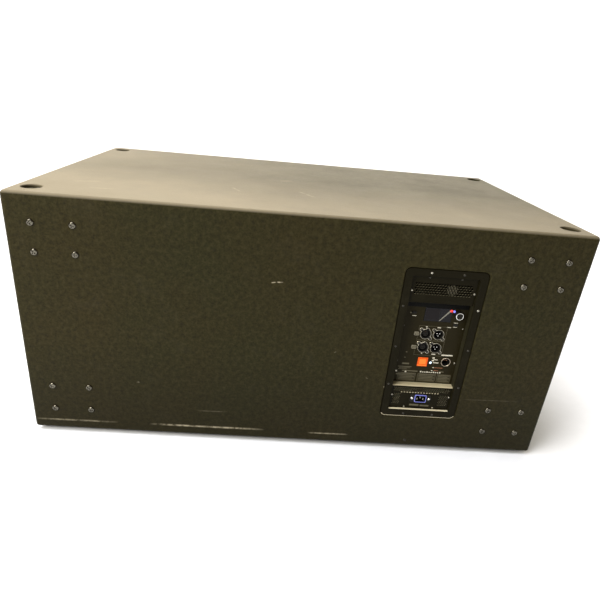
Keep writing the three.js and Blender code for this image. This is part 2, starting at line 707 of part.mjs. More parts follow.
ampPart(
  'badge',
  plate(BADGE.x, BADGE.z, BADGE.side, BADGE.side, 1, CONTROL_DEPTH - 1, CONTROL_DEPTH - CLEARANCE, 2),
  'orange',
);

// Mains inlet: flange with two fixing ears, a collar and a cavity with three blades.
function mainsInlet() {
  const face = HOOD_DEPTH - CLEARANCE;
  const collarFront = face - 4;
  const flange = plate(0, INLET.z, INLET.screwPitch + 9, 20, 4.4, face - 2, face, 3);
  const collar = plate(0, INLET.z, INLET.width, INLET.height, 2.4, collarFront, face, 3);
  const { width, height, back, floor } = INLET_BODY;
  const body = slab(0, INLET.z, width, height, face - 1, back);
  const cavity = slab(0, INLET.z, INLET_CAVITY.width, INLET_CAVITY.height, collarFront - BEYOND, floor);
  let solid = joined(flange, collar, body).subtract(cavity);
  for (const { x, z } of INLET_BLADES) {
    solid = solid.add(slab(x, INLET.z + z, 2, 5, 8, floor + 1));
  }
  return solid;
}
ampPart('mains_inlet', mainsInlet(), 'blackPlastic');

// ---------------------------------------------------------------- amplifier: inside

function powerBoard() {
  const front = 46;
  const back = front + 1.6;
  let solid = box(-70, 70, front, back, -165, 100);
  const capacitors = [
    { x: -40, z: 60, radius: 14, length: 28 },
    { x: -5, z: 60, radius: 14, length: 28 },
    { x: 30, z: 62, radius: 11, length: 22 },
    { x: -48, z: -20, radius: 9, length: 18 },
  ];
  for (const { x, z, radius, length } of capacitors) {
    solid = solid.add(rodY(x, z, radius, back - 0.5, back + length, 12));
  }
  const coilsAndModules = [
    { x: 30, z: -10, width: 42, height: 36, depth: 30 },
    { x: -20, z: -30, width: 20, height: 44, depth: 22 },
    { x: 35, z: -110, width: 44, height: 50, depth: 32 },
    { x: -35, z: -110, width: 30, height: 30, depth: 20 },
  ];
  for (const { x, z, width, height, depth } of coilsAndModules) {
    solid = solid.add(slab(x, z, width, height, back - 0.5, back + depth));
  }
  return solid;
}
ampPart('power_board', powerBoard(), 'circuit');

function heatSink() {
  const back = CHASSIS.back - SHEET - GAP;
  const base = back - 5;
  const fins = 9;
  let solid = box(-66, 66, base, back, -150, 90);
  for (let i = 0; i < fins; i += 1) {
    const x = -62 + (i * 124) / (fins - 1);
    solid = solid.add(box(x - 1, x + 1, base - 24, base + 1, -150, 90));
  }
  return solid;
}
ampPart('heat_sink', heatSink(), 'castAluminium');

const FAN_MIDDLE = FAN.front + FAN.depth / 2;
function fanFrame() {
  const back = FAN.front + FAN.depth;
  let solid = plate(FAN.x, FAN.z, FAN.side, FAN.side, 4, FAN.front, back, 2);
  solid = solid.subtract(rodY(FAN.x, FAN.z, FAN.bore, FAN.front - BEYOND, back + BEYOND, 24));
  const strutBack = back;
  const strutFront = back - 2;
  solid = solid.add(rodY(FAN.x, FAN.z, 11, strutFront, strutBack, 12));
  for (const angle of [45, 165, 285]) {
    const strut = new THREE.BoxGeometry(FAN.bore + 0.6, 2, 3);
    strut.translate((FAN.bore + 0.6) / 2, 0, 0);
    strut.rotateY(THREE.MathUtils.degToRad(angle));
    strut.translate(FAN.x, (strutFront + strutBack) / 2, FAN.z);
    solid = solid.add(toSolid(strut));
  }
  return solid.add(rodY(FAN.x, FAN.z, 1.5, FAN_MIDDLE - 2, back - 1, 8));
}
ampPart('fan_frame', fanFrame(), 'blackPlastic');

// Hub and seven pitched blades that turn on the frame's spindle.
function fanRotor() {
  const front = FAN.front + 1;
  const back = FAN.front + FAN.depth - 3;
  const blades = 7;
  let solid = rodY(FAN.x, FAN.z, 12, front, back, 20);
  for (let i = 0; i < blades; i += 1) {
    const blade = new THREE.BoxGeometry(16, 1.4, 14);
    blade.rotateX(THREE.MathUtils.degToRad(35));
    blade.translate(18, 0, 0);
    blade.rotateY((i * 2 * Math.PI) / blades);
    blade.translate(FAN.x, (front + back) / 2, FAN.z);
    solid = solid.add(toSolid(blade));
  }
  return solid.subtract(rodY(FAN.x, FAN.z, 2, FAN_MIDDLE - 3, back + BEYOND, 8));
}
ampPart('fan_rotor', fanRotor(), 'blackPlastic');

export default model;
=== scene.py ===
"""Powered double bass cabinet, seen from behind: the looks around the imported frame. Metres, +Z up."""

import math
import random

import bmesh
import bpy
from mathutils import Matrix, Vector
from mathutils.geometry import tessellate_polygon

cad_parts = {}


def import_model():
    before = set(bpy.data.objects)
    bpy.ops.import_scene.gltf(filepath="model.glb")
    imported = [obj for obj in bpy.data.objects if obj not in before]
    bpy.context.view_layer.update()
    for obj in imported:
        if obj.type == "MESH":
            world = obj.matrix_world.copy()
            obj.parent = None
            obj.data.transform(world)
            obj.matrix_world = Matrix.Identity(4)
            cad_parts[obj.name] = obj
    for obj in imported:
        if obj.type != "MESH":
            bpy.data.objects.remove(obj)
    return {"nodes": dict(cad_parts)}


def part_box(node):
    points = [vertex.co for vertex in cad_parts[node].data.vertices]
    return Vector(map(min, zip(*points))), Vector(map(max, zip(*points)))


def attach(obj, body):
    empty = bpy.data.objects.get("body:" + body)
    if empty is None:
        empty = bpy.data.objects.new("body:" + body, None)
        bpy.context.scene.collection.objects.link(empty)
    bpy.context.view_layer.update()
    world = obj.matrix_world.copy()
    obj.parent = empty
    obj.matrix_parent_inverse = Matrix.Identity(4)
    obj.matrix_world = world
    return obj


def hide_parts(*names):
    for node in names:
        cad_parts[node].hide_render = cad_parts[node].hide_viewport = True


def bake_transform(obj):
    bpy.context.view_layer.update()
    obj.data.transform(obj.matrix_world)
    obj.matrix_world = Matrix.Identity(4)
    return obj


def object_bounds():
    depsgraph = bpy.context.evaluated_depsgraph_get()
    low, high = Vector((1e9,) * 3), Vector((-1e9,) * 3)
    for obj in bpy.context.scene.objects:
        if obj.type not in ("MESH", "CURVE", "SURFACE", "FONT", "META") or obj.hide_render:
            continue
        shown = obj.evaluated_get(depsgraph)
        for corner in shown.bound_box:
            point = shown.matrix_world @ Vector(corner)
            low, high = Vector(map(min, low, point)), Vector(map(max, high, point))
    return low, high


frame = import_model()
cad_low, cad_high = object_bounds()

MM = 0.001
ROOT = "cabinet"

# ---------------------------------------------------------------- places taken from the frame

REAR_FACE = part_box("rear_panel")[1].y
RIGHT_FACE = cad_high.x
ROOF = cad_high.z
SHELL_LOW, SHELL_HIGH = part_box("bottom_panel")[0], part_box("top_panel")[1]


def middle(*nodes):
    """The middle of the box round some CAD nodes."""
    lows, highs = zip(*(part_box(n) for n in nodes))
    low = Vector(min(v[i] for v in lows) for i in range(3))
    high = Vector(max(v[i] for v in highs) for i in range(3))
    return (low + high) / 2


def face_frame(x, y, z, turn):
    """Millimetres on a face: x to the right, y into the cabinet, z up, for someone who looks at it."""
    return Matrix.Translation((x, y, z)) @ Matrix.Rotation(math.radians(turn), 4, "Z") @ Matrix.Scale(MM, 4)


AMP_MIDDLE = middle("amp_bezel")
AMP = face_frame(AMP_MIDDLE.x, REAR_FACE, AMP_MIDDLE.z, 180)
ROW = Matrix.Scale(MM, 4)


def on_amp(node):
    """A CAD node's box in the amplifier's own millimetres: (x0, x1), (y0, y1), (z0, z1)."""
    inverse = AMP.inverted()
    a, b = (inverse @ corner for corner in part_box(node))
    return [tuple(sorted((a[i], b[i]))) for i in range(3)]


def spot(node):
    """A CAD node's place on the amplifier: middle x and z, width, height, front and back."""
    (left, right), (front, back), (low, high) = on_amp(node)
    return (left + right) / 2, (low + high) / 2, right - left, high - low, front, back


# ---------------------------------------------------------------- materials

PAINT_BROWN = (0.0230, 0.0178, 0.0052)
PAINT_GREEN = (0.0180, 0.0172, 0.0054)
PAINT_PIT_AND_SHADE = (0.0100, 0.0085, 0.0040)
PAINT_CREST = (0.0360, 0.0310, 0.0130)
PAINT_DUST = (0.0700, 0.0620, 0.0440)
PAINT_WORN_AND_HIGHLIGHT = (0.42, 0.37, 0.26)
PAINT_GLOSS = 0.06
SETTLED_DUST_AND_SHEEN = (0.200, 0.172, 0.120)  # dust on the top, with a painted sheen where light falls on it


class Nodes:
    """Short calls for the nodes that every material here is made of."""

    def __init__(self, name):
        self.material = bpy.data.materials.new(name)
        self.material.use_nodes = True
        self.tree = self.material.node_tree
        self.tree.nodes.clear()
        output = self.tree.nodes.new("ShaderNodeOutputMaterial")
        self.shader = self.tree.nodes.new("ShaderNodeBsdfPrincipled")
        self.link(self.shader.outputs[0], output.inputs[0])
        self.place = self.tree.nodes.new("ShaderNodeTexCoord").outputs["Object"]

    def link(self, source, target):
        self.tree.links.new(source, target)

    def stretched(self, scale):
        node = self.tree.nodes.new("ShaderNodeMapping")
        node.inputs["Scale"].default_value = scale
        self.link(self.place, node.inputs["Vector"])
        return node.outputs[0]

    def noise(self, scale, detail=4.0, rough=0.5, vector=None):
        node = self.tree.nodes.new("ShaderNodeTexNoise")
        node.inputs["Scale"].default_value = scale
        node.inputs["Detail"].default_value = detail
        node.inputs["Roughness"].default_value = rough
        self.link(vector or self.place, node.inputs["Vector"])
        return node.outputs["Fac"]

    def cells(self, scale):
        node = self.tree.nodes.new("ShaderNodeTexVoronoi")
        node.inputs["Scale"].default_value = scale
        self.link(self.place, node.inputs["Vector"])
        return node.outputs["Distance"]

    def math(self, operation, a, b=0.0, clamp=False):
        node = self.tree.nodes.new("ShaderNodeMath")
        node.operation = operation
        node.use_clamp = clamp
        for socket, value in zip(node.inputs, (a, b)):
            if isinstance(value, (int, float)):
                socket.default_value = value
            else:
                self.link(value, socket)
        return node.outputs[0]

    def vector_math(self, operation, a, b=None):
        node = self.tree.nodes.new("ShaderNodeVectorMath")
        node.operation = operation
        slots = (node.inputs[0], node.inputs["Scale"] if operation == "SCALE" else node.inputs[1])
        for socket, value in zip(slots, (a, b)):
            if isinstance(value, Vector):
                socket.default_value = value
            elif value is not None:
                self.link(value, socket)
        return node.outputs["Value" if operation in ("DOT_PRODUCT", "LENGTH") else "Vector"]

    def stroke(self, start, end, width):
        """1 along the middle of a straight mark between two points, fading to 0 at its sides and ends."""
        along = end - start
        from_start = self.vector_math("SUBTRACT", self.place, start)
        share = self.vector_math("DOT_PRODUCT", from_start, along / along.length_squared)
        nearest = self.vector_math("SCALE", along, self.math("MULTIPLY", share, 1.0, clamp=True))
        distance = self.vector_math("LENGTH", self.vector_math("SUBTRACT", from_start, nearest))
        rest = self.math("SUBTRACT", 1.0, share)
        taper = self.math("MULTIPLY", self.math("MULTIPLY", share, rest), 5.0, clamp=True)
        return self.math("MULTIPLY", self.remap(distance, 0.1 * width, 0.5 * width, 1.0, 0.0), taper)

    def remap(self, value, low, high, to_low=0.0, to_high=1.0):
        node = self.tree.nodes.new("ShaderNodeMapRange")
        for key, number in (("From Min", low), ("From Max", high), ("To Min", to_low), ("To Max", to_high)):
            node.inputs[key].default_value = number
        self.link(value, node.inputs["Value"])
        return node.outputs[0]

    def mix(self, share, a, b):
        node = self.tree.nodes.new("ShaderNodeMix")
        node.data_type = "RGBA"
        self.link(share, node.inputs[0])
        for socket, value in ((node.inputs[6], a), (node.inputs[7], b)):
            if isinstance(value, tuple):
                socket.default_value = (*value, 1.0)
            else:
                self.link(value, socket)
        return node.outputs[2]

    def color(self, value):
        self.link(value, self.shader.inputs["Base Color"])

    def roughness(self, value):
        self.link(value, self.shader.inputs["Roughness"])

    def bump(self, height, strength, distance):
        node = self.tree.nodes.new("ShaderNodeBump")
        node.inputs["Strength"].default_value = strength
        node.inputs["Distance"].default_value = distance
        self.link(height, node.inputs["Height"])
        self.link(node.outputs[0], self.shader.inputs["Normal"])

    def set(self, **values):
        for key, value in values.items():
            self.shader.inputs[key.replace("_", " ")].default_value = value

    def split(self):
        node = self.tree.nodes.new("ShaderNodeSeparateXYZ")
        self.link(self.place, node.inputs[0])
        return node.outputs


def on_rear(x, z):
    """A point of the rear face: millimetres to its middle's right, from behind, and up from its edge."""
    return Vector((-x * MM, REAR_FACE, SHELL_LOW.z + z * MM))


def on_top(x, depth):
    """A point of the top: millimetres to the right of its middle, from behind, and in from the rear edge."""
    return Vector((-x * MM, REAR_FACE - depth * MM, ROOF))


# Scuffs, and a painted highlight along the rear's lower edge: from and to, width in millimetres, and how
# much of the coating is gone (for the highlight, how pale it is).
REAR_SCUFFS_AND_HIGHLIGHT = (
    (-68, 401, -58, 403, 3.2, 0.75), (-57, 403, -43, 404, 3.6, 0.85), (-355, 139, -347, 139, 5.0, 0.35),
    (-220, 70, -150, 71, 4.0, 0.12), (390, 143, 530, 146, 3.0, 0.10), (80, 246, 86, 249, 2.6, 0.30),
    (159, 187, 166, 183, 2.6, 0.30), (588, 306, 589, 316, 4.0, 0.45), (588, 511, 589, 522, 4.0, 0.45),
    # The three long marks about 24 mm up, along the rear's lower edge, are a painted highlight.
    (203, 164.5, 211, 165.5, 4.6, 0.85), (-590, 24, -400, 25, 6.0, 0.40), (-330, 25, -60, 26, 6.5, 0.75),
    (40, 24, 140, 25, 5.5, 0.55),
)
TOP_SCUFFS = (
    (-20, 215, 22, 155, 5.0, 0.60), (-176, 205, -150, 160, 6.0, 0.35), (-70, 330, -30, 345, 6.0, 0.35),
    (-505, 130, -450, 150, 7.0, 0.40), (-455, 80, -400, 85, 6.0, 0.35),
)
SCUFFS_AND_HIGHLIGHT = [
    (face(*row[:2]), face(*row[2:4]), *row[4:])
    for face, rows in ((on_rear, REAR_SCUFFS_AND_HIGHLIGHT), (on_top, TOP_SCUFFS)) for row in rows
]


def cabinet_paint():
    """Dark textured coating: orange peel, mottling, dust with a painted sheen on the top, painted shade
    towards the floor, scuffs, and a painted highlight along the rear's lower edge.
    """
    n = Nodes("textured_paint")
    grain = n.noise(300, 3, 0.7)
    blotch = n.noise(105, 4, 0.75)
    peel = n.cells(240)
    mottled = n.noise(3.2, 5, 0.6)
    dusty = n.noise(14, 6, 0.65)
    base = n.mix(n.remap(mottled, 0.35, 0.65), PAINT_BROWN, PAINT_GREEN)
    base = n.mix(n.remap(blotch, 0.36, 0.52, 0.70, 0.0), base, PAINT_PIT_AND_SHADE)
    base = n.mix(n.remap(blotch, 0.50, 0.66, 0.0, 0.75), base, PAINT_CREST)
    base = n.mix(n.remap(peel, 0.2, 0.7, 0.0, 0.25), base, PAINT_CREST)
    base = n.mix(n.remap(dusty, 0.55, 0.8, 0.0, 0.12), base, PAINT_DUST)
    # On the top: settled dust and a painted sheen, lighter towards +x and towards the rear edge, where light
    # falls.
    along, across, height = n.split()
    lying = n.remap(height, ROOF - 0.006, ROOF - 0.001)
    to_one_end = n.remap(along, -0.15, 0.55, 0.02, 0.62)
    dust_and_sheen_share = n.math("ADD", to_one_end, n.remap(across, -0.02, REAR_FACE, 0.0, 0.75))
    dust_and_sheen_share = n.math("ADD", dust_and_sheen_share, n.remap(mottled, 0.3, 0.7, -0.12, 0.16))
    dust_and_sheen_share = n.math("MULTIPLY", dust_and_sheen_share, n.remap(dusty, 0.3, 0.7, 0.86, 1.12), clamp=True)
    base = n.mix(n.math("MULTIPLY", lying, dust_and_sheen_share), base, SETTLED_DUST_AND_SHEEN)
    # Painted shade: the coating darkens towards the floor.
    base = n.mix(n.remap(height, SHELL_LOW.z, SHELL_LOW.z + 0.24, 0.50, 0.0), base, PAINT_PIT_AND_SHADE)
    ragged = n.remap(n.noise(70, 5, 0.75), 0.36, 0.56)
    # Scuffs, and the painted highlight along the rear's lower edge, in pale paint.
    for start, end, width, share in SCUFFS_AND_HIGHLIGHT:
        mark = n.math("MULTIPLY", n.stroke(start, end, width * MM), ragged)
        base = n.mix(n.math("MULTIPLY", mark, share), base, PAINT_WORN_AND_HIGHLIGHT)
    n.color(base)
    n.roughness(n.remap(dusty, 0.3, 0.7, 0.47, 0.53))
    relief = n.math("ADD", n.math("MULTIPLY", peel, 0.7), n.math("MULTIPLY", grain, 0.8))
    n.bump(relief, 0.5, 0.0005)
    n.set(Specular_IOR_Level=PAINT_GLOSS)
    return n.material


def plywood():
    n = Nodes("plywood")
    grain = n.noise(6, 8, 0.65, n.stretched((1.2, 1.2, 14.0)))
    plies = n.noise(90, 1, 0.4, n.stretched((0.05, 0.05, 1.0)))
    base = n.mix(n.remap(grain, 0.3, 0.7), (0.42, 0.27, 0.14), (0.60, 0.43, 0.25))
    n.color(n.mix(n.remap(plies, 0.45, 0.62, 0.0, 0.5), base, (0.27, 0.16, 0.08)))
    n.roughness(n.remap(grain, 0.3, 0.7, 0.6, 0.8))
    n.bump(grain, 0.3, 0.0004)
    return n.material


def moulded(name, low, high, rough, scale=500.0, strength=0.25, level=0.5, metal=0.0):
    """Plastic, rubber or paint with a fine grain and slightly uneven colour."""
    n = Nodes(name)
    grain = n.noise(scale, 3, 0.6)
    cloud = n.noise(18, 5, 0.6)
    n.color(n.mix(n.remap(cloud, 0.3, 0.7), low, high))
    n.roughness(n.remap(cloud, 0.3, 0.75, rough - 0.06, rough + 0.08))
    n.bump(grain, strength, 0.0003)
    n.set(Specular_IOR_Level=level, Metallic=metal)
    return n.material


def bare_metal(name, low, high, rough, stretch=(1.0, 1.0, 1.0), scale=160.0):
    """Bare or plated metal with fine machining marks and a few dull spots."""
    n = Nodes(name)
    lines = n.noise(scale, 4, 0.6, n.stretched(stretch))
    cloud = n.noise(60, 4, 0.6)
    n.color(n.mix(n.remap(cloud, 0.35, 0.7), low, high))
    n.roughness(n.remap(lines, 0.3, 0.7, rough - 0.08, rough + 0.12))
    n.bump(lines, 0.12, 0.0002)
    n.set(Metallic=1.0)
    return n.material


def powder_coat(name, low, high, gloss):
    """Satin powder coat on sheet steel, a little dusty."""
    n = Nodes(name)
    grain = n.noise(700, 2, 0.6)
    dust = n.noise(22, 6, 0.7)
    n.color(n.mix(n.remap(dust, 0.5, 0.8, 0.0, 0.6), low, high))
    n.roughness(n.remap(dust, 0.3, 0.7, 0.36, 0.5))
    n.bump(grain, 0.3, 0.0002)
    n.set(Specular_IOR_Level=gloss)
    return n.material


def foam():
    n = Nodes("foam")
    pores = n.cells(700)
    n.color(n.mix(n.remap(pores, 0.1, 0.6), (0.004, 0.004, 0.004), (0.018, 0.018, 0.018)))
    n.roughness(n.remap(pores, 0.0, 0.6, 0.9, 1.0))
    n.bump(pores, 0.8, 0.0012)
    n.set(Specular_IOR_Level=0.15)
    return n.material


def lamp(name, colour, strength):
    """A small glowing spot: lit lenses, and one painted glint."""
    n = Nodes(name)
    glow = n.noise(400, 2)
    n.color(n.mix(n.remap(glow, 0.3, 0.7), colour, tuple(0.8 * c for c in colour)))
    lit = n.mix(n.remap(glow, 0.3, 0.7), colour, tuple(0.9 * c for c in colour))
    n.link(lit, n.shader.inputs["Emission Color"])
    n.set(Emission_Strength=strength, Roughness=0.15)
    return n.material


def smoked_glass():
    n = Nodes("display")
    cloud = n.noise(30, 4, 0.6)
    n.color(n.mix(n.remap(cloud, 0.3, 0.7), (0.0025, 0.0026, 0.0034), (0.005, 0.005, 0.0065)))
    n.roughness(n.remap(cloud, 0.35, 0.7, 0.06, 0.16))
    n.set(Specular_IOR_Level=0.16)
    return n.material


PAINT = cabinet_paint()
PLYWOOD = plywood()
COAT = powder_coat("coated_steel", (0.0075, 0.0062, 0.0020), (0.017, 0.015, 0.0075), 0.05)
PANEL_COAT = powder_coat("panel_coat", (0.0155, 0.0125, 0.0046), (0.024, 0.020, 0.010), 0.05)
WALL_COAT = powder_coat("recess_wall", (0.0220, 0.0200, 0.0105), (0.036, 0.033, 0.021), 0.06)
FOAM = foam()
GRILLE_COAT = moulded("grille_coat", (0.0090, 0.0085, 0.0070), (0.0155, 0.0145, 0.0115), 0.45, 600, 0.2, 0.2)
PLASTIC = moulded("black_plastic", (0.0065, 0.0058, 0.0040), (0.012, 0.011, 0.008), 0.42, level=0.12)
DARK = moulded("socket_black", (0.003, 0.003, 0.003), (0.006, 0.006, 0.005), 0.6, level=0.05)
RUBBER = moulded("rubber", (0.010, 0.010, 0.009), (0.020, 0.019, 0.017), 0.78, 350, 0.5, 0.15)
GREY = moulded("grey_plastic", (0.16, 0.15, 0.105), (0.22, 0.20, 0.15), 0.45, level=0.2)
ORANGE = moulded("orange_plastic", (0.72, 0.085, 0.004), (0.80, 0.115, 0.006), 0.4, 300, 0.1, 0.15)
ORANGE_LIGHT = moulded("orange_light", (0.85, 0.20, 0.02), (0.90, 0.24, 0.03), 0.4, 300, 0.1, 0.15)
BLUE = moulded("blue_plastic", (0.13, 0.15, 0.50), (0.18, 0.20, 0.60), 0.35, 300, 0.1, 0.3)
# Pale paint; on the lower panel's ledge it is a painted highlight.
LEDGE = moulded("pale_ledge", (0.34, 0.30, 0.19), (0.44, 0.39, 0.26), 0.4, 260, 0.3, 0.3)
BEZEL_EDGE_HIGHLIGHT = moulded("bezel_edge_highlight", (0.50, 0.45, 0.31), (0.62, 0.56, 0.40), 0.4, 260, 0.3, 0.3)
PRINT = moulded("cream_print", (0.58, 0.55, 0.44), (0.70, 0.66, 0.54), 0.55, 900, 0.2)
FAINT = moulded("faint_print", (0.085, 0.076, 0.046), (0.125, 0.112, 0.072), 0.55, 900, 0.2, 0.1)
AMBER = moulded("amber_print", (0.30, 0.10, 0.035), (0.38, 0.14, 0.05), 0.55, 900, 0.2)
STEEL = bare_metal("steel", (0.34, 0.32, 0.26), (0.46, 0.44, 0.37), 0.24)
CASTER_STEEL = bare_metal("caster_steel", (0.095, 0.088, 0.070), (0.145, 0.135, 0.105), 0.14)
BLACK_STEEL = bare_metal("black_steel", (0.045, 0.042, 0.036), (0.080, 0.075, 0.062), 0.30)
NICKEL = bare_metal("nickel", (0.36, 0.33, 0.25), (0.46, 0.43, 0.34), 0.28)
CHROME = bare_metal("chrome", (0.80, 0.79, 0.74), (0.88, 0.87, 0.83), 0.12)
BRONZE = bare_metal("network_ring", (0.42, 0.35, 0.255), (0.54, 0.46, 0.345), 0.3)
# Pale paint on the up-facing walls of vent holes: a painted highlight.
HOLE_WALL_HIGHLIGHT = moulded("hole_wall_highlight", (0.125, 0.115, 0.077), (0.205, 0.188, 0.127), 0.5, 500, 0.2, 0.1)
ALUMINIUM = bare_metal("cast_aluminium", (0.34, 0.34, 0.35), (0.44, 0.44, 0.45), 0.45)
FERRITE = moulded("ferrite", (0.05, 0.05, 0.05), (0.08, 0.08, 0.08), 0.55, 240, 0.5, 0.5)
PAPER = moulded("paper", (0.014, 0.014, 0.013), (0.026, 0.026, 0.024), 0.85, 160, 0.9, 0.3)
CLOTH = moulded("treated_cloth", (0.030, 0.026, 0.020), (0.05, 0.043, 0.032), 0.8, 420, 0.9, 0.3)
COPPER = bare_metal("copper", (0.62, 0.28, 0.14), (0.74, 0.36, 0.20), 0.32, (1.0, 40.0, 1.0), 60)
BOARD = moulded("circuit_board", (0.015, 0.07, 0.035), (0.022, 0.095, 0.05), 0.45, 200, 0.5)
GLASS = smoked_glass()
REFLECTION_STREAK = moulded("painted_reflection_streak", (0.16, 0.155, 0.12), (0.22, 0.21, 0.17), 0.3, 400, 0.2)
LABEL = moulded("label_fill", (0.030, 0.026, 0.014), (0.044, 0.038, 0.022), 0.5, 900, 0.2, 0.1)
LCD = moulded("lcd_area", (0.0080, 0.0064, 0.0070), (0.0112, 0.0090, 0.0098), 0.3, 700, 0.1, 0.10)
RED_LAMP = lamp("red_lamp", (1.0, 0.035, 0.025), 1.2)
BLUE_GLINT = lamp("blue_glint", (0.24, 0.26, 1.0), 1.0)
WHITE_LAMP = lamp("white_lamp", (0.62, 0.78, 1.0), 1.8)


# ---------------------------------------------------------------- building meshes

class Build:
    """A mesh in millimetres: points, faces and the material number of each face."""

    def __init__(self, *materials):
        self.materials = materials
        self.points, self.faces, self.slots = [], [], []

    def add(self, points, faces, slot=0):
        start = len(self.points)
        self.points.extend(points)
        self.faces.extend([tuple(start + i for i in face) for face in faces])
        self.slots.extend([slot] * len(faces))

    def skin(self, rings, closed=False, caps=True, slots=0):
        """Joins outlines of equal length by bands of quads. slots is one material, or one for each band."""
        n = len(rings[0])
        pairs = list(zip(range(len(rings)), range(1, len(rings))))
        if closed:
            pairs.append((len(rings) - 1, 0))
        numbers = [slots] * len(pairs) if isinstance(slots, int) else slots
        start = len(self.points)
        for ring in rings:
            self.points.extend(ring)
        for (a, b), slot in zip(pairs, numbers):
            for i in range(n):
                j = (i + 1) % n
                square = (a * n + i, a * n + j, b * n + j, b * n + i)
                self.faces.append(tuple(start + corner for corner in square))
                self.slots.append(slot)
        if caps and not closed:
            last = start + (len(rings) - 1) * n
            self.faces.append(tuple(start + i for i in reversed(range(n))))
            self.faces.append(tuple(last + i for i in range(n)))
            self.slots.extend([numbers[0], numbers[-1]])

    def box(self, x0, x1, y0, y1, z0, z1, slot=0, bevel=0.0):
        w, h = x1 - x0, z1 - z0
        x, z = (x0 + x1) / 2, (z0 + z1) / 2
        if not bevel:
            ends = [corners(x, z, w, h, y) for y in (y0, y1)]
        else:
            b = bevel
            ends = [corners(x, z, w - 2 * b, h - 2 * b, y0), corners(x, z, w, h, y0 + b)]
            ends += [corners(x, z, w, h, y1 - b), corners(x, z, w - 2 * b, h - 2 * b, y1)]
        self.skin(ends, slots=slot)

    def turn(self, x, z, profile, n=48, closed=False, slots=0):
        """Turns a profile of (radius, depth) points about an axis along y. A radius of 0 closes that end."""
        rings = [circle(x, z, r, y, n) for r, y in profile if r > 0]
        self.skin(rings, closed=closed, caps=False, slots=slots)
        fan = [(0, 1 + i, 1 + (i + 1) % n) for i in range(n)]
        ends = ((profile[0], rings[0], 0), (profile[-1], rings[-1], -1))
        for (radius, depth), ring, end in ends:
            if radius == 0:
                self.add([(x, depth, z), *ring], fan, slots if isinstance(slots, int) else slots[end])

    def sheet(self, outline, y0, y1, patches=(), openings=(), slot=0, hole_slot=None, open_edges=()):
        """A flat plate from y0 to y1 with openings and patches of holes. Open edges get no side wall."""
        loops = [outline, *(patch.outline for patch in patches), *openings]
        flat = [point for loop in loops for point in loop]
        size = len(flat)
        points = [(x, y0, z) for x, z in flat] + [(x, y1, z) for x, z in flat]
        fill = tessellate_polygon([[Vector((x, z, 0)) for x, z in loop] for loop in loops])
        faces = [tuple(face) for face in fill] + [tuple(size + i for i in reversed(face)) for face in fill]
        walls = []
        start = 0
        for number, loop in enumerate(loops):
            if number == 0 or number > len(patches):
                for i in range(len(loop)):
                    if number or i not in open_edges:
                        a, b = start + i, start + (i + 1) % len(loop)
                        walls.append((a, b, size + b, size + a))
            start += len(loop)
        self.add(points, faces + walls, slot)
        for patch in patches:
            patch.build(self, y0, y1, slot, slot if hole_slot is None else hole_slot)

    def take(self, other, matrix=None, slot=None):
        """Adds another build's faces, moved by a matrix."""
        points = [tuple(matrix @ Vector(p)) for p in other.points] if matrix else other.points
        self.add(points, other.faces)
        count = len(other.slots)
        self.slots[-count:] = [slot] * count if slot is not None else other.slots


class Comb:
    """A patch of staggered six-sided holes, as tiles that share their corners, and the patch's outline."""

    TILE_RIM = ((0, 0.5), (0.5, 0.5), (0.5, -0.5), (0, -0.5), (-0.5, -0.5), (-0.5, 0.5))
    HIGHLIGHT_WALLS = (2, 3)  # the two walls of a hole that face up, pale as a painted highlight

    def __init__(self, x, z, columns, rows, pitch, hole):
        row = pitch * math.sqrt(3) / 2
        left, low = x - (columns + 0.5) * pitch / 2, z - rows * row / 2
        angles = [math.radians(60 * k) for k in range(6)]
        mouth = [(hole / 2 * math.sin(a), hole / 2 * math.cos(a)) for a in angles]
        self.tiles = []
        for r in range(rows):
            for c in range(columns):
                cx, cz = left + (0.5 * (r % 2) + c + 0.5) * pitch, low + (r + 0.5) * row
                rim = [(cx + u * pitch, cz + v * row) for u, v in self.TILE_RIM]
                self.tiles.append(rim + [(cx + u, cz + v) for u, v in mouth])

        def side(r, end):
            return left + (0.5 * (r % 2) + end * columns) * pitch

        steps = [0.5 * k * pitch for k in range(2 * columns + 1)]
        loop = [(left + step, low) for step in steps]
        loop += [(side(r, 1), low + (r + e) * row) for r in range(rows) for e in (0, 1)]
        loop += [(side(rows - 1, 0) + step, low + rows * row) for step in reversed(steps)]
        loop += [(side(r, 0), low + (r + e) * row) for r in reversed(range(rows)) for e in (1, 0)]
        self.outline = [p for i, p in enumerate(loop) if math.dist(p, loop[i - 1]) > 1e-6]

    def build(self, build, y0, y1, slot, hole_slot):
        front = [(i, (i + 1) % 6, 6 + (i + 1) % 6, 6 + i) for i in range(6)]
        back = [tuple(12 + k for k in reversed(face)) for face in front]
        inside = [(6 + i, 6 + (i + 1) % 6, 18 + (i + 1) % 6, 18 + i) for i in range(6)]
        for tile in self.tiles:
            points = [(x, y, z) for y in (y0, y1) for x, z in tile]
            build.add(points, front + back, slot)
            for number, face in enumerate(inside):
                finish = hole_slot if number in self.HIGHLIGHT_WALLS else slot
                build.add([points[i] for i in face], [(0, 1, 2, 3)], finish)


def corners(x, z, w, h, y):
    return [(x + sx * w / 2, y, z + sz * h / 2) for sx, sz in ((-1, -1), (1, -1), (1, 1), (-1, 1))]


def rounded(x, z, w, h, r, y, steps):
    """A rounded rectangle at depth y."""
    points = []
    for quarter, (sx, sz) in enumerate(((1, -1), (1, 1), (-1, 1), (-1, -1))):
        cx, cz = x + sx * (w / 2 - r), z + sz * (h / 2 - r)
        for i in range(steps + 1):
            angle = math.radians(-90 + 90 * quarter + 90 * i / steps)
            points.append((cx + r * math.cos(angle), y, cz + r * math.sin(angle)))
    return points


def turns(n):
    """n angles round a full turn."""
    return [2 * math.pi * i / n for i in range(n)]


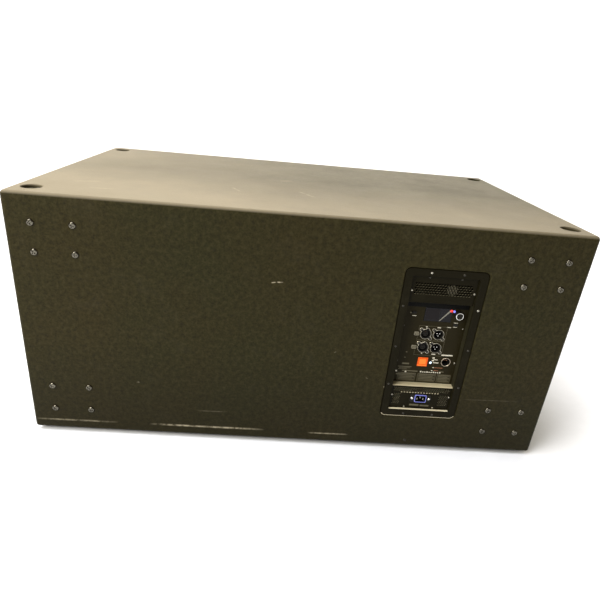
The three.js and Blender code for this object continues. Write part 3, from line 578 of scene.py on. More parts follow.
def circle(x, z, r, y, n):
    return [(x + r * math.cos(a), y, z + r * math.sin(a)) for a in turns(n)]


def outlines(x, z, rows, steps=6):
    """Rounded rectangles about one middle, from rows of (width, height, corner radius, depth)."""
    return [rounded(x, z, *row, steps) for row in rows]


def circles(x, z, rows, n):
    """Circles about one middle, from rows of (radius, depth)."""
    return [circle(x, z, *row, n) for row in rows]


def upright(x, y, rows, n):
    """Level circles about one middle, from rows of (radius, height)."""
    return [[(x + r * math.cos(a), y + r * math.sin(a), z) for a in turns(n)] for r, z in rows]


def make_object(name, build, matrix):
    mesh = bpy.data.meshes.new(name)
    mesh.from_pydata([tuple(matrix @ Vector(p)) for p in build.points], [], build.faces)
    for material in build.materials:
        mesh.materials.append(material)
    mesh.polygons.foreach_set("material_index", build.slots)
    bm = bmesh.new()
    bm.from_mesh(mesh)
    bmesh.ops.remove_doubles(bm, verts=bm.verts, dist=2e-6)
    bmesh.ops.recalc_face_normals(bm, faces=bm.faces)
    shade(bm, 35)
    bm.to_mesh(mesh)
    bm.free()
    obj = bpy.data.objects.new(name, mesh)
    bpy.context.scene.collection.objects.link(obj)
    return obj


def shade(bm, angle):
    """Smooth faces, with every edge sharper than the angle kept sharp."""
    limit = math.radians(angle)
    for face in bm.faces:
        face.smooth = True
    for edge in bm.edges:
        edge.smooth = len(edge.link_faces) == 2 and edge.calc_face_angle(0.0) < limit


def piece(name, build, matrix, body=ROOT, replaces=(), weighted=True):
    return settle(make_object(name, build, matrix), body, replaces, weighted)


def settle(obj, body=ROOT, replaces=(), weighted=True):
    """Gives a finished object its body, hides the CAD nodes that it stands for and, when asked, weights its
    normals.
    """
    if weighted:
        modifier = obj.modifiers.new("normals", "WEIGHTED_NORMAL")
        modifier.keep_sharp = True
    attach(obj, body)
    if replaces:
        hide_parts(*replaces)
    return obj


def cut(obj, cutter, operation="DIFFERENCE"):
    """Cuts one object by another and deletes the tool."""
    modifier = obj.modifiers.new("cut", "BOOLEAN")
    modifier.operation = operation
    modifier.solver = "EXACT"
    modifier.object = cutter
    bpy.context.view_layer.update()
    evaluated = obj.evaluated_get(bpy.context.evaluated_depsgraph_get())
    mesh = bpy.data.meshes.new_from_object(evaluated)
    obj.modifiers.clear()
    old, obj.data = obj.data, mesh
    bpy.data.meshes.remove(old)
    bpy.data.objects.remove(cutter)
    bm = bmesh.new()
    bm.from_mesh(obj.data)
    shade(bm, 30)
    bm.to_mesh(obj.data)
    bm.free()
    return obj


# ---------------------------------------------------------------- cabinet

EDGE = 8.0  # edge radius of the cabinet, mm
SHELL = [v / MM for v in (SHELL_LOW.x, SHELL_HIGH.x, SHELL_LOW.y, SHELL_HIGH.y, SHELL_LOW.z, SHELL_HIGH.z)]


def shell_block():
    """The whole outside of the cabinet as one block with round edges."""
    mesh = bpy.data.meshes.new("shell")
    bm = bmesh.new()
    bmesh.ops.create_cube(bm, size=1.0)
    size = SHELL_HIGH - SHELL_LOW
    bmesh.ops.scale(bm, vec=size, verts=bm.verts)
    bmesh.ops.translate(bm, vec=(SHELL_LOW + SHELL_HIGH) / 2, verts=bm.verts)
    rounding = {"offset": EDGE * MM, "segments": 6, "profile": 0.5, "clamp_overlap": True}
    bmesh.ops.bevel(bm, geom=list(bm.edges), affect="EDGES", **rounding)
    bm.to_mesh(mesh)
    bm.free()
    mesh.materials.append(PAINT)
    obj = bpy.data.objects.new("shell", mesh)
    bpy.context.scene.collection.objects.link(obj)
    return obj


def tool(*blocks):
    """A cutting tool made of (low, high) blocks, in millimetres."""
    build = Build()
    for x0, x1, y0, y1, z0, z1 in blocks:
        build.box(x0, x1, y0, y1, z0, z1)
    return make_object("tool", build, ROW)


x0, x1, y0, y1, z0, z1 = SHELL
WALL = 18.0
BEYOND = 30.0
outer = (x0 - BEYOND, x1 + BEYOND, y0 - BEYOND, y1 + BEYOND)


def panel_from_block(name, block):
    obj = shell_block()
    obj.name = name
    return cut(obj, tool(block), "INTERSECT")


CUP_RADIUS, CUP_DEPTH, CUP_RIM = 20.0, 6.0, 1.2


def cup_tool(x, y):
    """Blind round recess in the top with a softened rim."""
    build = Build(PAINT)
    rows = [(CUP_RADIUS, z1 - CUP_DEPTH), (CUP_RADIUS, z1 - CUP_RIM)]
    rows += [(CUP_RADIUS + CUP_RIM, z1), (CUP_RADIUS + CUP_RIM, z1 + 5)]
    build.skin(upright(x, y, rows, 48))
    return make_object("tool", build, ROW)


top = panel_from_block("top_board", (*outer, z1 - WALL, z1 + BEYOND))
for foot in ("front_left_foot", "front_right_foot", "rear_left_foot", "rear_right_foot"):
    place = middle(foot)
    cut(top, cup_tool(place.x / MM, place.y / MM))
settle(top, replaces=["top_panel"])
bottom = panel_from_block("bottom_board", (*outer, z0 - BEYOND, z0 + WALL))
settle(bottom, replaces=["bottom_panel"])

HANDLES = {
    "left": ("left_front_handle", "left_rear_handle"),
    "right": ("right_front_handle", "right_rear_handle"),
}
HANDLE_SIZE = (190.0, 110.0, 16.0)
POCKET_SIZE = (154.0, 78.0, 14.0)


def handle_frame(node):
    place = middle(node)
    side = 1 if place.x > 0 else -1
    return face_frame(side * RIGHT_FACE, place.y, place.z, 90 * side)


def handle_tool(node):
    """The opening for a hand-hold, with a rebate for its rim."""
    w, h, r = HANDLE_SIZE
    build = Build(PAINT)
    rows = [(w - 20, h - 16, r, 40), (w - 20, h - 16, r, 3.4), (w + 1, h + 1, r, 3.3)]
    rows += [(w + 1, h + 1, r, 1.0), (w + 3, h + 3, r + 1, 0), (w + 3, h + 3, r + 1, -8)]
    build.skin(outlines(0, 0, rows))
    return make_object("tool", build, handle_frame(node))


for side, nodes in HANDLES.items():
    sign = 1 if side == "right" else -1
    xs = sorted((sign * (x1 - WALL), sign * (x1 + BEYOND)))
    board = panel_from_block(f"{side}_board", (*xs, y0 - BEYOND, y1 + BEYOND, z0 + WALL, z1 - WALL))
    for node in nodes:
        cut(board, handle_tool(node))
    settle(board, replaces=[f"{side}_side_panel"])


def grip_rings():
    """The bar: round, thicker in the middle, flared where it meets the pocket's ends."""
    length = POCKET_SIZE[0] / 2 + 1
    rings = []
    for i in range(25):
        t = -1 + 2 * i / 24
        radius = 11.4 - 0.8 * t * t + 5.0 * abs(t) ** 14
        x = t * length
        section = [(radius * math.cos(a) * 0.98, radius * math.sin(a)) for a in turns(20)]
        rings.append([(x, 14.2 + y, 14.0 + z) for y, z in section])
    return rings


def hand_hold(node):
    """Plastic cup with a raised rim, a rubber bar across it and four screws."""
    w, h, r = HANDLE_SIZE
    pw, ph, pr = POCKET_SIZE
    build = Build(PLASTIC, RUBBER, STEEL)
    inside = [(w - 2, h - 2, r, 3.0), (w, h, r, 1.4), (w - 2, h - 2, r, 0.3), (pw + 4, ph + 4, pr, 0.3)]
    inside += [(pw, ph, pr, 2.2), (pw - 4, ph - 4, pr, 30), (pw - 12, ph - 12, pr, 52)]
    bottom_rows = [(pw - 24, ph - 24, pr - 4, 57), (pw - 18, ph - 18, pr - 2, 60)]
    outside = [(pw + 4, ph + 4, pr, 54), (pw + 5, ph + 5, pr, 3.0)]
    build.skin(outlines(0, 0, inside + bottom_rows + outside), closed=True)
    build.skin(outlines(0, 0, bottom_rows))
    build.skin(grip_rings(), slots=1)
    for sx in (-1, 1):
        for sz in (-1, 1):
            place = Matrix.Translation((sx * (w / 2 - 9), 0.35, sz * (h / 2 - 9)))
            build.take(screw_head(3.2, 1.4), place, slot=2)
    piece(node + "_cup", build, handle_frame(node), replaces=[node])


def screw_head(radius, height, segments=24):
    """Pan head with a cross recess, seen from -Y, its underside a little below y = 0."""
    build = Build(STEEL)
    arm, half, deep = 0.6 * radius, 0.14 * radius, 0.6 * height
    rings = circles(0, 0, [(radius, 0.6), (radius, -0.1 * height)], segments)
    for share in (0.35, 0.65, 0.85, 1.0):
        angle = share * math.pi / 2
        rings.append(circle(0, 0, radius * math.cos(0.56 * angle), -height * math.sin(angle), segments))
    build.skin(rings, caps=False)
    build.add(rings[0], [tuple(range(segments))])
    cross = []
    for quarter in range(4):
        turn = Matrix.Rotation(-quarter * math.pi / 2, 2)
        for corner in ((-half, half), (-half, arm), (half, arm)):
            cross.append(tuple(turn @ Vector(corner)))
    rim = [(x, z) for x, _, z in rings[-1]]
    build.add(*ring_fill(rim, cross, -height))
    build.skin([[(x, y, z) for x, z in cross] for y in (-height, deep - height)], caps=False)
    build.add([(x, deep - height, z) for x, z in cross], [tuple(range(len(cross)))])
    return build


def ring_fill(rim, hole, y):
    """Flat faces between a rim and a hole in it, at depth y."""
    loops = [[Vector((x, z, 0)) for x, z in loop] for loop in (rim, hole)]
    return [(x, y, z) for x, z in (*rim, *hole)], [tuple(face) for face in tessellate_polygon(loops)]


for nodes in HANDLES.values():
    for node in nodes:
        hand_hold(node)

# ---------------------------------------------------------------- rear board

BEZEL_W, BEZEL_H, BEZEL_R = 178.0, 370.0, 12.0


def rear_board():
    low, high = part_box("rear_panel")
    build = Build(PAINT)
    build.box(x0 + WALL, x1 - WALL, low.y / MM, high.y / MM, z0 + WALL, z1 - WALL)
    obj = make_object("rear_board", build, ROW)
    rebate = Build(PAINT)
    w, h, r = BEZEL_W + 2, BEZEL_H + 2, BEZEL_R + 1
    rows = [(w, h, r, 6.3), (w, h, r, 1.6), (w + 2.4, h + 2.4, r + 1.2, 0), (w + 2.4, h + 2.4, r + 1.2, -8)]
    rebate.skin(outlines(0, 0, rows, 8))
    cut(obj, make_object("tool", rebate, AMP))
    opening = Build(PAINT)
    opening.box(-77, 77, 2, 40, -172, 174)
    cut(obj, make_object("tool", opening, AMP))
    settle(obj, replaces=["rear_panel"])


rear_board()

# ---------------------------------------------------------------- caster screws and feet

CASTER_HEAD = (7.2, 3.0)
CASTER_X, CASTER_Z = 40, 30  # half of the pattern's pitch
BACKING_PLATE = (18.3, 22.3)  # depths of the threaded plate behind the rear panel
SCREW_TURNS = random.Random(7)


def caster_group(node):
    low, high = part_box(node)
    centre = (low + high) / 2
    local = face_frame(centre.x, REAR_FACE, centre.z, 180)
    build = Build(CASTER_STEEL, BLACK_STEEL)
    for sx in (-1, 1):
        for sz in (-1, 1):
            head = screw_head(*CASTER_HEAD, segments=32)
            turn = Matrix.Rotation(SCREW_TURNS.uniform(0, math.pi / 2), 4, "Y")
            x, z = sx * CASTER_X, sz * CASTER_Z
            build.take(head, Matrix.Translation((x, 0, z)) @ turn, slot=0)
            build.skin(circles(x, z, [(4, 0.7), (4, 22)], 16), slots=1)
    build.skin(outlines(0, 0, [(104, 84, 6, y) for y in BACKING_PLATE]), slots=1)
    piece(node + "_heads", build, local, replaces=[node])


for node in sorted(frame["nodes"]):
    if node.startswith("caster_screws"):
        caster_group(node)


def base_screw():
    """A single small dark screw near the rear face's lower edge, under the amplifier."""
    local = face_frame(AMP_MIDDLE.x + 18 * MM, REAR_FACE, SHELL_LOW.z + 18 * MM, 180)
    build = Build(BLACK_STEEL)
    build.take(screw_head(3.6, 1.6, 20), slot=0)
    piece("base_screw", build, local)


base_screw()


def rubber_foot(node):
    place = middle(node)
    build = Build(RUBBER)
    rows = ((13.0, 0.0), (16.6, 0.0), (17.6, 0.5), (18.0, 1.6), (18.0, 6.5), (17.4, 7.8), (12.0, 7.9))
    build.skin(upright(0, 0, rows, 40))
    local = Matrix.Translation((place.x, place.y, 0)) @ ROW
    piece(node + "_rubber", build, local, replaces=[node])


for node in sorted(frame["nodes"]):
    if node.endswith("_foot"):
        rubber_foot(node)

# ---------------------------------------------------------------- grille and foam

GRILLE_BEND = 4.0
GRILLE_SHEET = 1.5


def flat(points):
    return [(x, z) for x, _, z in points]


def grille():
    """Perforated steel tray with rounded folds."""
    low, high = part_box("grille")
    w, deep, h = (high - low) / MM
    r, t = GRILLE_BEND, GRILLE_SHEET
    build = Build(GRILLE_COAT)
    face = rounded(0, 0, w - 2 * r, h - 2 * r, 1.0, 0, 3)
    holes = Comb(0, 0, 92, 47, 12.0, 9.6)
    build.sheet(flat(face), 0, t, patches=[holes], open_edges=range(len(face)))
    rings = [rounded(0, 0, w - 2 * r, h - 2 * r, 1.0, t, 3)]
    for radius in (r - t, r):
        rows = []
        for step in range(6):
            angle = math.radians(90 * step / 5)
            out = radius * math.sin(angle)
            size = 2 * (out - r)
            rows.append((w + size, h + size, 1.0 + out, r - radius * math.cos(angle)))
        bend = outlines(0, 0, rows, 3)
        rings += bend if radius < r else bend[::-1]
        if radius < r:
            rings += outlines(0, 0, [(w - 2 * t, h - 2 * t, 3.5, deep), (w, h, 5.0, deep)], 3)
    build.skin(rings, caps=False)
    local = face_frame(0, low.y, (low.z + high.z) / 2, 0)
    piece("grille_sheet", build, local, replaces=["grille"], weighted=False)


grille()


def grille_foam():
    low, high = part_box("grille_foam")
    build = Build(FOAM)
    w, h = (high.x - low.x) / MM, (high.z - low.z) / MM
    deep = (high.y - low.y) / MM
    insets = ((3, 0), (0.8, 0.8), (0, 3), (0, deep - 3), (0.8, deep - 0.8), (3, deep))
    build.skin(outlines(0, 0, [(w - 2 * inset, h - 2 * inset, 6, y) for inset, y in insets]))
    local = face_frame(0, low.y, (low.z + high.z) / 2, 0)
    obj = piece("foam_sheet", build, local, replaces=["grille_foam"])


grille_foam()

# ---------------------------------------------------------------- amplifier: bezel and folded panels

AMP_SCREWS = random.Random(11)


def add_screw(build, x, z, y, radius, slot, height=1.1):
    turn = Matrix.Rotation(AMP_SCREWS.uniform(0, math.pi / 2), 4, "Y")
    build.take(screw_head(radius, height, 16), Matrix.Translation((x, y, z)) @ turn, slot=slot)


HOOD_FACE = on_amp("vent_hood")[1][0]
PLATE = on_amp("control_panel")[1][0]
WINDOW_W = 143.0
WINDOW_LOW, WINDOW_HIGH = -166.0, 168.0
SHEET = 2.0
LEDGE_Z = on_amp("lower_panel")[2][1]
HOOD_LIP = on_amp("vent_hood")[2][0]


TOP_SCREW = (34.5, 176.5)
SIDE_SCREW = (81.7, 98.0)


def bezel():
    """Flange with round corners, its screws, the recess's side walls, and pale paint as a painted highlight
    on the flange's lower edge and on a lip at the bottom.
    """
    (bx0, bx1), (front, back), (bz0, bz1) = on_amp("amp_bezel")
    w, h, r = bx1 - bx0, bz1 - bz0, BEZEL_R
    window_h, window_z = WINDOW_HIGH - WINDOW_LOW, (WINDOW_HIGH + WINDOW_LOW) / 2
    build = Build(COAT, STEEL, BLACK_STEEL, BEZEL_EDGE_HIGHLIGHT, WALL_COAT)
    rows = [(w, h, r, back), (w, h, r, front + 0.9), (w - 2.2, h - 2.2, r - 1.1, front)]
    rings = outlines(0, 0, [*rows, (w - 3.8, h - 3.8, r - 1.9, front)], 10)
    rows = [(WINDOW_W + 1.4, window_h + 1.4, 3.4, front)]
    rows += [(WINDOW_W, window_h, 2.7, y) for y in (front + 0.7, back)]
    rings += outlines(0, window_z, rows, 10)
    build.skin(rings, closed=True)
    # Painted highlight: the faces along the flange's lower edge are pale where light catches them.
    highlight_below = -h / 2 + 8.0
    for number, face in enumerate(build.faces):
        if all(build.points[i][2] < highlight_below and build.points[i][1] < back for i in face):
            build.slots[number] = 3
    for side in (-1, 1):
        near, far = sorted((side * (WINDOW_W / 2 + 0.1), side * (WINDOW_W / 2 + 1.1)))
        levels = (WINDOW_LOW, LEDGE_Z - 1, HOOD_LIP + 1, WINDOW_HIGH)
        depths = (HOOD_FACE + SHEET, PLATE + SHEET, HOOD_FACE + SHEET)
        for low, high, deep in zip(levels, levels[1:], depths):
            build.box(near, far, back - 0.1, deep, low, high, 4)
    bright = {(-TOP_SCREW[0], TOP_SCREW[1]), SIDE_SCREW}
    spots = [(sx * TOP_SCREW[0], sz * TOP_SCREW[1]) for sx in (-1, 1) for sz in (-1, 1)]
    spots += [(sx * SIDE_SCREW[0], sz * SIDE_SCREW[1]) for sx in (-1, 1) for sz in (-1, 0, 1)]
    for x, z in spots:
        add_screw(build, x, z, front + 0.1, 2.7, 1 if (x, z) in bright else 2)
    # A pale lip along the window's lower edge: a painted highlight.
    lip = WINDOW_LOW + 0.02
    build.box(-70.5, 70.5, front + 0.4, back - 0.1, lip, lip + 1.7, 3, 0.2)
    piece("bezel", build, AMP, replaces=["amp_bezel"])


bezel()


def fold(build, x0, x1, front, back, z, sign, slot=0, end_slot=0):
    """A lip that turns from the face into the cabinet round a small bend, its outer side at height z."""
    radius = 2.6
    rings = []
    for step in range(6):
        angle = math.radians(90 * step / 5)
        pair = []
        for r in (radius, radius - SHEET):
            pair.append((front + radius - r * math.cos(angle), z + sign * (radius - r * math.sin(angle))))
        rings.append(pair)
    rings.append([(back, z), (back, z + sign * SHEET)])
    loops = [[(x0, *outer), (x1, *outer), (x1, *inner), (x0, *inner)] for outer, inner in rings]
    build.skin(loops, caps=False, slots=[slot] * 4 + [end_slot] * 2)
    build.add(loops[-1], [(0, 1, 2, 3)], end_slot)
    return z + sign * radius


def section_screws(build, face, spots):
    for x, z, slot in spots:
        add_screw(build, x, z, face + 0.1, 2.2, slot, 0.9)


def hood():
    """Upper panel: five rows of honeycomb holes above a plain band, and a lip over the controls."""
    (hx0, hx1), (front, back), (hz0, hz1) = on_amp("vent_hood")
    build = Build(COAT, STEEL, BLACK_STEEL, HOLE_WALL_HIGHLIGHT)
    z = fold(build, hx0, hx1, front, back, hz0, 1)
    outline = [(hx0, z), (hx1, z), (hx1, hz1), (hx0, hz1)]
    holes = Comb(0, 138.5, 20, 5, 6.2, 5.6)
    build.sheet(outline, front, front + SHEET, patches=[holes], hole_slot=3, open_edges=[0])
    section_screws(build, front, ((-67.5, 133, 1), (67.5, 133, 1), (-34.5, 164, 2), (34.5, 164, 2)))
    piece("hood", build, AMP, replaces=["vent_hood"])


def lower_panel():
    """Lower panel: a ledge in pale paint as a painted highlight, honeycomb vents along the top and at both
    sides, and room for the inlet.
    """
    (px0, px1), (front, back), (pz0, pz1) = on_amp("lower_panel")
    build = Build(COAT, STEEL, BLACK_STEEL, LEDGE, HOLE_WALL_HIGHLIGHT)
    # The fold along the top is the ledge, in pale paint: a painted highlight where light falls on it.
    z = fold(build, px0, px1, front, back, pz1, -1, 3, 3)
    outline = [(px0, pz0), (px1, pz0), (px1, z), (px0, z)]
    opening = flat(corners(0, spot("mains_inlet")[1], 28.6, 21, 0))
    vents = ((0, -112.8, 31, 3), (-56.5, -139, 4, 8), (54, -139, 5, 8))
    extras = {"patches": [Comb(*vent, 4.2, 3.6) for vent in vents], "openings": [opening]}
    build.sheet(outline, front, front + SHEET, **extras, hole_slot=4, open_edges=[2])
    spots = ((-67.3, -130, 1), (67.3, -130, 1), (-34.2, -161.5, 1), (34.2, -161.5, 1))
    section_screws(build, front, spots)
    for i in range(14):
        x = -46 + 6.6 * i
        build.box(x - 1.5, x + 1.5, front - 0.6, front + 0.1, -122.4, -120.2, 3, 0.2)
    piece("lower_plate", build, AMP, replaces=["lower_panel"])


def hood_shadow_strip():
    """Black strip of painted shadow under the hood's lip, across the top of the control panel."""
    build = Build(DARK)
    (dz1,) = on_amp("display_window")[2][1:]
    build.box(-70.5, 70.5, PLATE - 0.6, PLATE + 0.2, dz1 + 0.5, HOOD_LIP + 1.0, 0, 0.3)
    piece("hood_shadow_strip", build, AMP)


hood()
hood_shadow_strip()
lower_panel()

# ---------------------------------------------------------------- amplifier: printed frames, bars and marks

MARKS = {
    PRINT: [
        (-51.5, -42.5, 67.4, 68.7), (31, 40, 44.0, 45.1), (44, 53.5, 55.9, 57.0), (44.5, 53, 45.4, 46.5),
        (-16, -12.5, 41.5, 43.5), (10, 18, 41.3, 43.2), (33, 59, -27.8, -24.8), (9.5, 18.5, -26.4, -24.4),
        (-15, -12, -25.4, -23.6), (14, 19, -36.5, -33.5), (17, 27, -40.3, -38.6), (17.5, 30, -48.4, -46.4),
        (13.5, 18.5, -43.8, -40.6), (-65.5, -61.5, -75.8, -72.6), (-43.5, -39.8, -77.0, -72.6),
        (18.5, 22, -61.2, -59.4), (17, 20, -69.4, -67.6),
    ],
    FAINT: [
        (-53, -37, -55.6, -51.6), (-62, -30, -62.6, -60.8), (-59, -33, -65.6, -64.4),
        (-50, -14, -73.8, -71.2), (-63, -52, -84, -80), (-60, -40, -68.8, -67.6), (38, 47, -71.6, -69.6),
        (-22, 0, -157.8, -153.2), (3, 24, -158.2, -154.2), (-50, -46.4, -24.5, -22.4),
        (-51, -48, -38.5, -36.6),
    ],
    AMBER: [(23, 42, -60.9, -59.8), (23, 34, -68.9, -67.9)],
}
FRAMES = [
    (FAINT, -31, 33, 9.2, 45.0, 0.5), (FAINT, -31, 33, -29.6, 8.0, 0.5),
    *((FAINT, left, right, -99.4, -77.6, 0.7) for left, right in ((-59, -17), (-12.5, 30.5), (33.5, 66))),
]
PRINT_RISE = 0.12
TAB_GAP = 1.8  # clear of the release tabs


def legends():
    """Plain bars, frames and ticks in place of lettering, a hair above the control panel."""
    order = [PRINT, FAINT, AMBER, LABEL]
    build = Build(*order)
    y0 = PLATE - PRINT_RISE
    for material, bars in MARKS.items():
        for bx0, bx1, bz0, bz1 in bars:
            on_lower_panel = bz1 < LEDGE_Z
            front = HOOD_FACE - PRINT_RISE if on_lower_panel else y0
            build.box(bx0, bx1, front, front + 0.1, bz0, bz1, order.index(material))
    tabs = [on_amp(node) for node in ("latch_a", "latch_b")]
    for material, fx0, fx1, fz0, fz1, line in FRAMES:
        slot = order.index(material)
        for low, high in ((fz0, fz0 + line), (fz1 - line, fz1)):
            build.box(fx0, fx1, y0, y0 + 0.1, low, high, slot)
        for left in (fx0, fx1 - line):
            cuts = [
                (z0 - TAB_GAP, z1 + TAB_GAP) for (x0, x1), _, (z0, z1) in tabs
                if x0 - TAB_GAP < left + line and left < x1 + TAB_GAP and fz0 < z0 and z1 < fz1
            ]
            levels = [fz0 + line, *(z for cut in cuts for z in cut), fz1 - line]
            for low, high in zip(levels[::2], levels[1::2]):
                build.box(left, left + line, y0, y0 + 0.1, low, high, slot)
    for left, right in ((-58, -18), (-11.5, 29.5), (34.5, 65)):
        build.box(left, right, y0 + 0.04, y0 + 0.1, -98.4, -78.6, 3)
    for left, right in ((-57, -19), (-10.5, 28.5), (35.5, 64)):
        for row in range(5):
            end = right - (5 if row % 2 else 0)
            build.box(left + 1, end, y0, y0 + 0.1, -96.6 + 3.9 * row, -95.0 + 3.9 * row, 1)
    for i in range(10):
        tall = 3.2 if i % 3 == 0 else 2.2
        build.box(-8 + 5 * i, -5 + 5 * i, y0, y0 + 0.1, -74.6, -74.6 + tall, 0)
    piece("legends", build, AMP, weighted=False)


legends()

# ---------------------------------------------------------------- amplifier: display, keys, knob and lamps


def display():
    (dx0, dx1), (front, back), (dz0, dz1) = on_amp("display_window")
    x, z, w, h = spot("display_window")[:4]
    build = Build(GLASS, LCD, RED_LAMP, BLUE_GLINT, REFLECTION_STREAK)
    rows = [(w, h, 1.2, back), (w, h, 1.2, front + 0.4), (w - 0.8, h - 0.8, 0.8, front)]
    build.skin(outlines(x, z, rows, 4))
    lit = [(31, 27, 0.6, y) for y in (front + 0.02, front - 0.04)]
    build.skin(outlines(dx0 + 17.5, z + 0.5, lit, 3), slots=1)
    # A red glowing spot at the display's top right, and beside it a blue one that is a painted glint.
    for lx, lz, wide, slot in ((dx1 - 3.0, dz1 - 4.6, 6.0, 2), (dx1 + 3.4, dz1 - 5.6, 4.6, 3)):
        rows = [(wide, 5.0, 1.6, y) for y in (PLATE + 0.1, front - 0.2)]
        rows.append((wide - 1.2, 3.8, 1.2, front - 0.6))
        build.skin(outlines(lx, lz, rows, 3), slots=slot)
    # A pale diagonal strip on the glass: a painted reflection.
    low, high = (dx0 + 35.5, dz0 + 2.0), (dx0 + 57.0, dz1 - 5.0)
    reflection_streak = [(low[0] - 1.6, low[1]), (low[0] + 0.4, low[1])]
    reflection_streak += [(high[0] + 1.2, high[1]), (high[0] - 4.0, high[1])]
    build.skin([[(cx, y, cz) for cx, cz in reflection_streak] for y in (front + 0.02, front - 0.08)], slots=4)
    piece("display_glass", build, AMP, replaces=["display_window"])


def key(node):
    """Rubber key with rounded edges and a shallow dish."""
    x, z, w, h, front, back = spot(node)
    w, h = w - 3, h - 3
    build = Build(RUBBER)
    sizes = [(3.0, back), (3.0, back - 1.2), (0, back - 1.2), (0, front + 1.0), (-0.5, front + 0.3)]
    sizes += [(-1.4, front), (-2.6, front + 0.25)]
    build.skin(outlines(x, z, [(w + grow, h + grow, (h + grow) / 2 - 0.02, y) for grow, y in sizes]))
    piece(node + "_cap", build, AMP, node, replaces=[node])


def knob():
    """Black knob with a fluted side, a chrome ring and a dished middle."""
    x, z, wide, _, front, back = spot("encoder_knob")
    r, bore, n = wide / 2, 3.3, 72
    build = Build(PLASTIC, CHROME)
    rows = [(0, 1.5), (4.6, 1.4), (6.3, 1.1), (7.0, 0.5), (7.2, 0.05)]
    rows += [(7.9, 0), (8.3, 0.3), (8.4, 0.9), (8.4, 1.6)]
    build.turn(x, z, [(radius, front + y) for radius, y in rows], n, slots=[0, 0, 0, 1, 1, 0, 0, 0])
    flutes = []
    for y, grow in ((front + 1.6, -0.5), (front + 2.2, 0), (back - 0.6, 0), (back, -0.4)):
        ring = circle(x, z, 1.0, y, n)
        radii = [r + grow - (0.45 if i % 3 == 0 else 0.0) for i in range(n)]
        flutes.append([(x + (px - x) * k, y, z + (pz - z) * k) for (px, y, pz), k in zip(ring, radii)])
    build.skin([circle(x, z, 8.4, front + 1.6, n), *flutes], caps=False)
    build.skin([flutes[-1], *circles(x, z, [(bore, back), (bore, front + 1.9)], n)], caps=False)
    build.add(circle(x, z, bore, front + 1.9, n), [tuple(range(n))])
    piece("knob", build, AMP, "encoder_knob", replaces=["encoder_knob"])


def release_tab(node):
    """Grey push tab with a raised border and three grip lines."""
    x, z, w, h, front, back = spot(node)
    w, h = w - 2.4, h - 3
    build = Build(GREY, FAINT)
    rows = [(w + 2.4, h + 3, 1, back), (w + 2.4, h + 3, 1, back - 1.2), (w, h, 2.6, back - 1.2)]
    rows += [(w, h, 2.6, front + 0.6), (w - 1.0, h - 1.0, 2.2, front)]
    rings = outlines(x, z, rows + [(w - 3.0, h - 3.0, 1.4, y) for y in (front, front + 0.7)], 4)
    build.skin(rings[:-1], slots=0, caps=False)
    build.skin(rings[-2:], slots=1, caps=False)
    build.add(rings[-1], [tuple(range(len(rings[-1])))], 1)
    build.add(rings[0], [tuple(range(len(rings[0])))], 0)
    for step in (-1, 0, 1):
        low, high = z + 1.6 * step - 0.35, z + 1.6 * step + 0.35
        build.box(x - 2.8, x + 2.8, front + 0.15, front + 0.75, low, high, 0, 0.15)
    piece(node + "_tab", build, AMP, node, replaces=[node])


def badge():
    """Blank orange square with a paler panel and foot."""
    x, z, w, _, front, back = spot("badge")
    build = Build(ORANGE, ORANGE_LIGHT)
    rows = [(w, w, 1.0, back), (w, w, 1.0, front + 0.25), (w - 0.5, w - 0.5, 0.8, front)]
    build.skin(outlines(x, z, rows, 4))
    for bz, height, width in ((z + 1.0, 13, 15), (z - w / 2 + 2.4, 2.6, w - 2.4)):
        rows = [(width, height, 0.6, y) for y in (front + 0.05, front - 0.12)]
        build.skin(outlines(x, bz, rows, 3), slots=1)
    piece("badge_plate", build, AMP, replaces=["badge"])


def lamps_and_screws():
    """Status lamps, and the screws that hold the control panel."""
    build = Build(WHITE_LAMP, STEEL, BLACK_STEEL, FAINT)
    for x, z, r, slot in ((11.6, -47.9, 2.5, 0), (-56, 75, 1.9, 3)):
        profile = [(r, PLATE + 0.1), (r, PLATE - 0.4), (0.7 * r, PLATE - 0.9), (0, PLATE - 1.1)]
        build.turn(x, z, profile, 20, slots=slot)
    for x, z, slot in ((68.2, 43, 1), (68.2, -46, 1), (-66.5, 43, 2), (-66.5, -46, 2)):
        add_screw(build, x, z, PLATE + 0.1, 2.5, slot, 0.9)
    piece("lamps_and_screws", build, AMP)


display()
key("back_button")
key("power_button")
knob()
release_tab("latch_a")
release_tab("latch_b")
badge()
lamps_and_screws()

# ---------------------------------------------------------------- amplifier: sockets


FLANGE, EAR, EAR_X, EAR_Z = 12.8, 4.2, 11.6, 11.0
LOBE_X, LOBE_Z, LOBE = 3.0, 10.6, 4.6
SOCKETS = {
    f"xlr_{kind}_{letter}": (x, z)
    for kind, x in (("input", -13.5), ("thru", 15.5)) for letter, z in (("a", 25.0), ("b", -9.0))
}


def flange_outline(x, z, y, inset, lobe, n=96):
    """Round flange with two ears on a diagonal and, on inputs, a lobe over the latch, blended softly."""
    discs = [(0, 0, FLANGE), (-EAR_X, EAR_Z, EAR), (EAR_X, -EAR_Z, EAR)]
    if lobe:
        discs.append((LOBE_X, LOBE_Z, LOBE))
    soft = 1.6

    def outside(u, v):
        nearest, second = sorted(math.hypot(u - a, v - b) - (r - inset) for a, b, r in discs)[:2]
        blend = max(soft - abs(nearest - second), 0) / soft
        return nearest - blend * blend * soft / 4

    points = []
    for i in range(n):
        angle = 2 * math.pi * i / n
        cu, cv = math.cos(angle), math.sin(angle)
        radius = 22.0
        while outside(radius * cu, radius * cv) > 0:
            radius -= 0.05
        points.append((x + radius * cu, y, z + radius * cv))
    return points


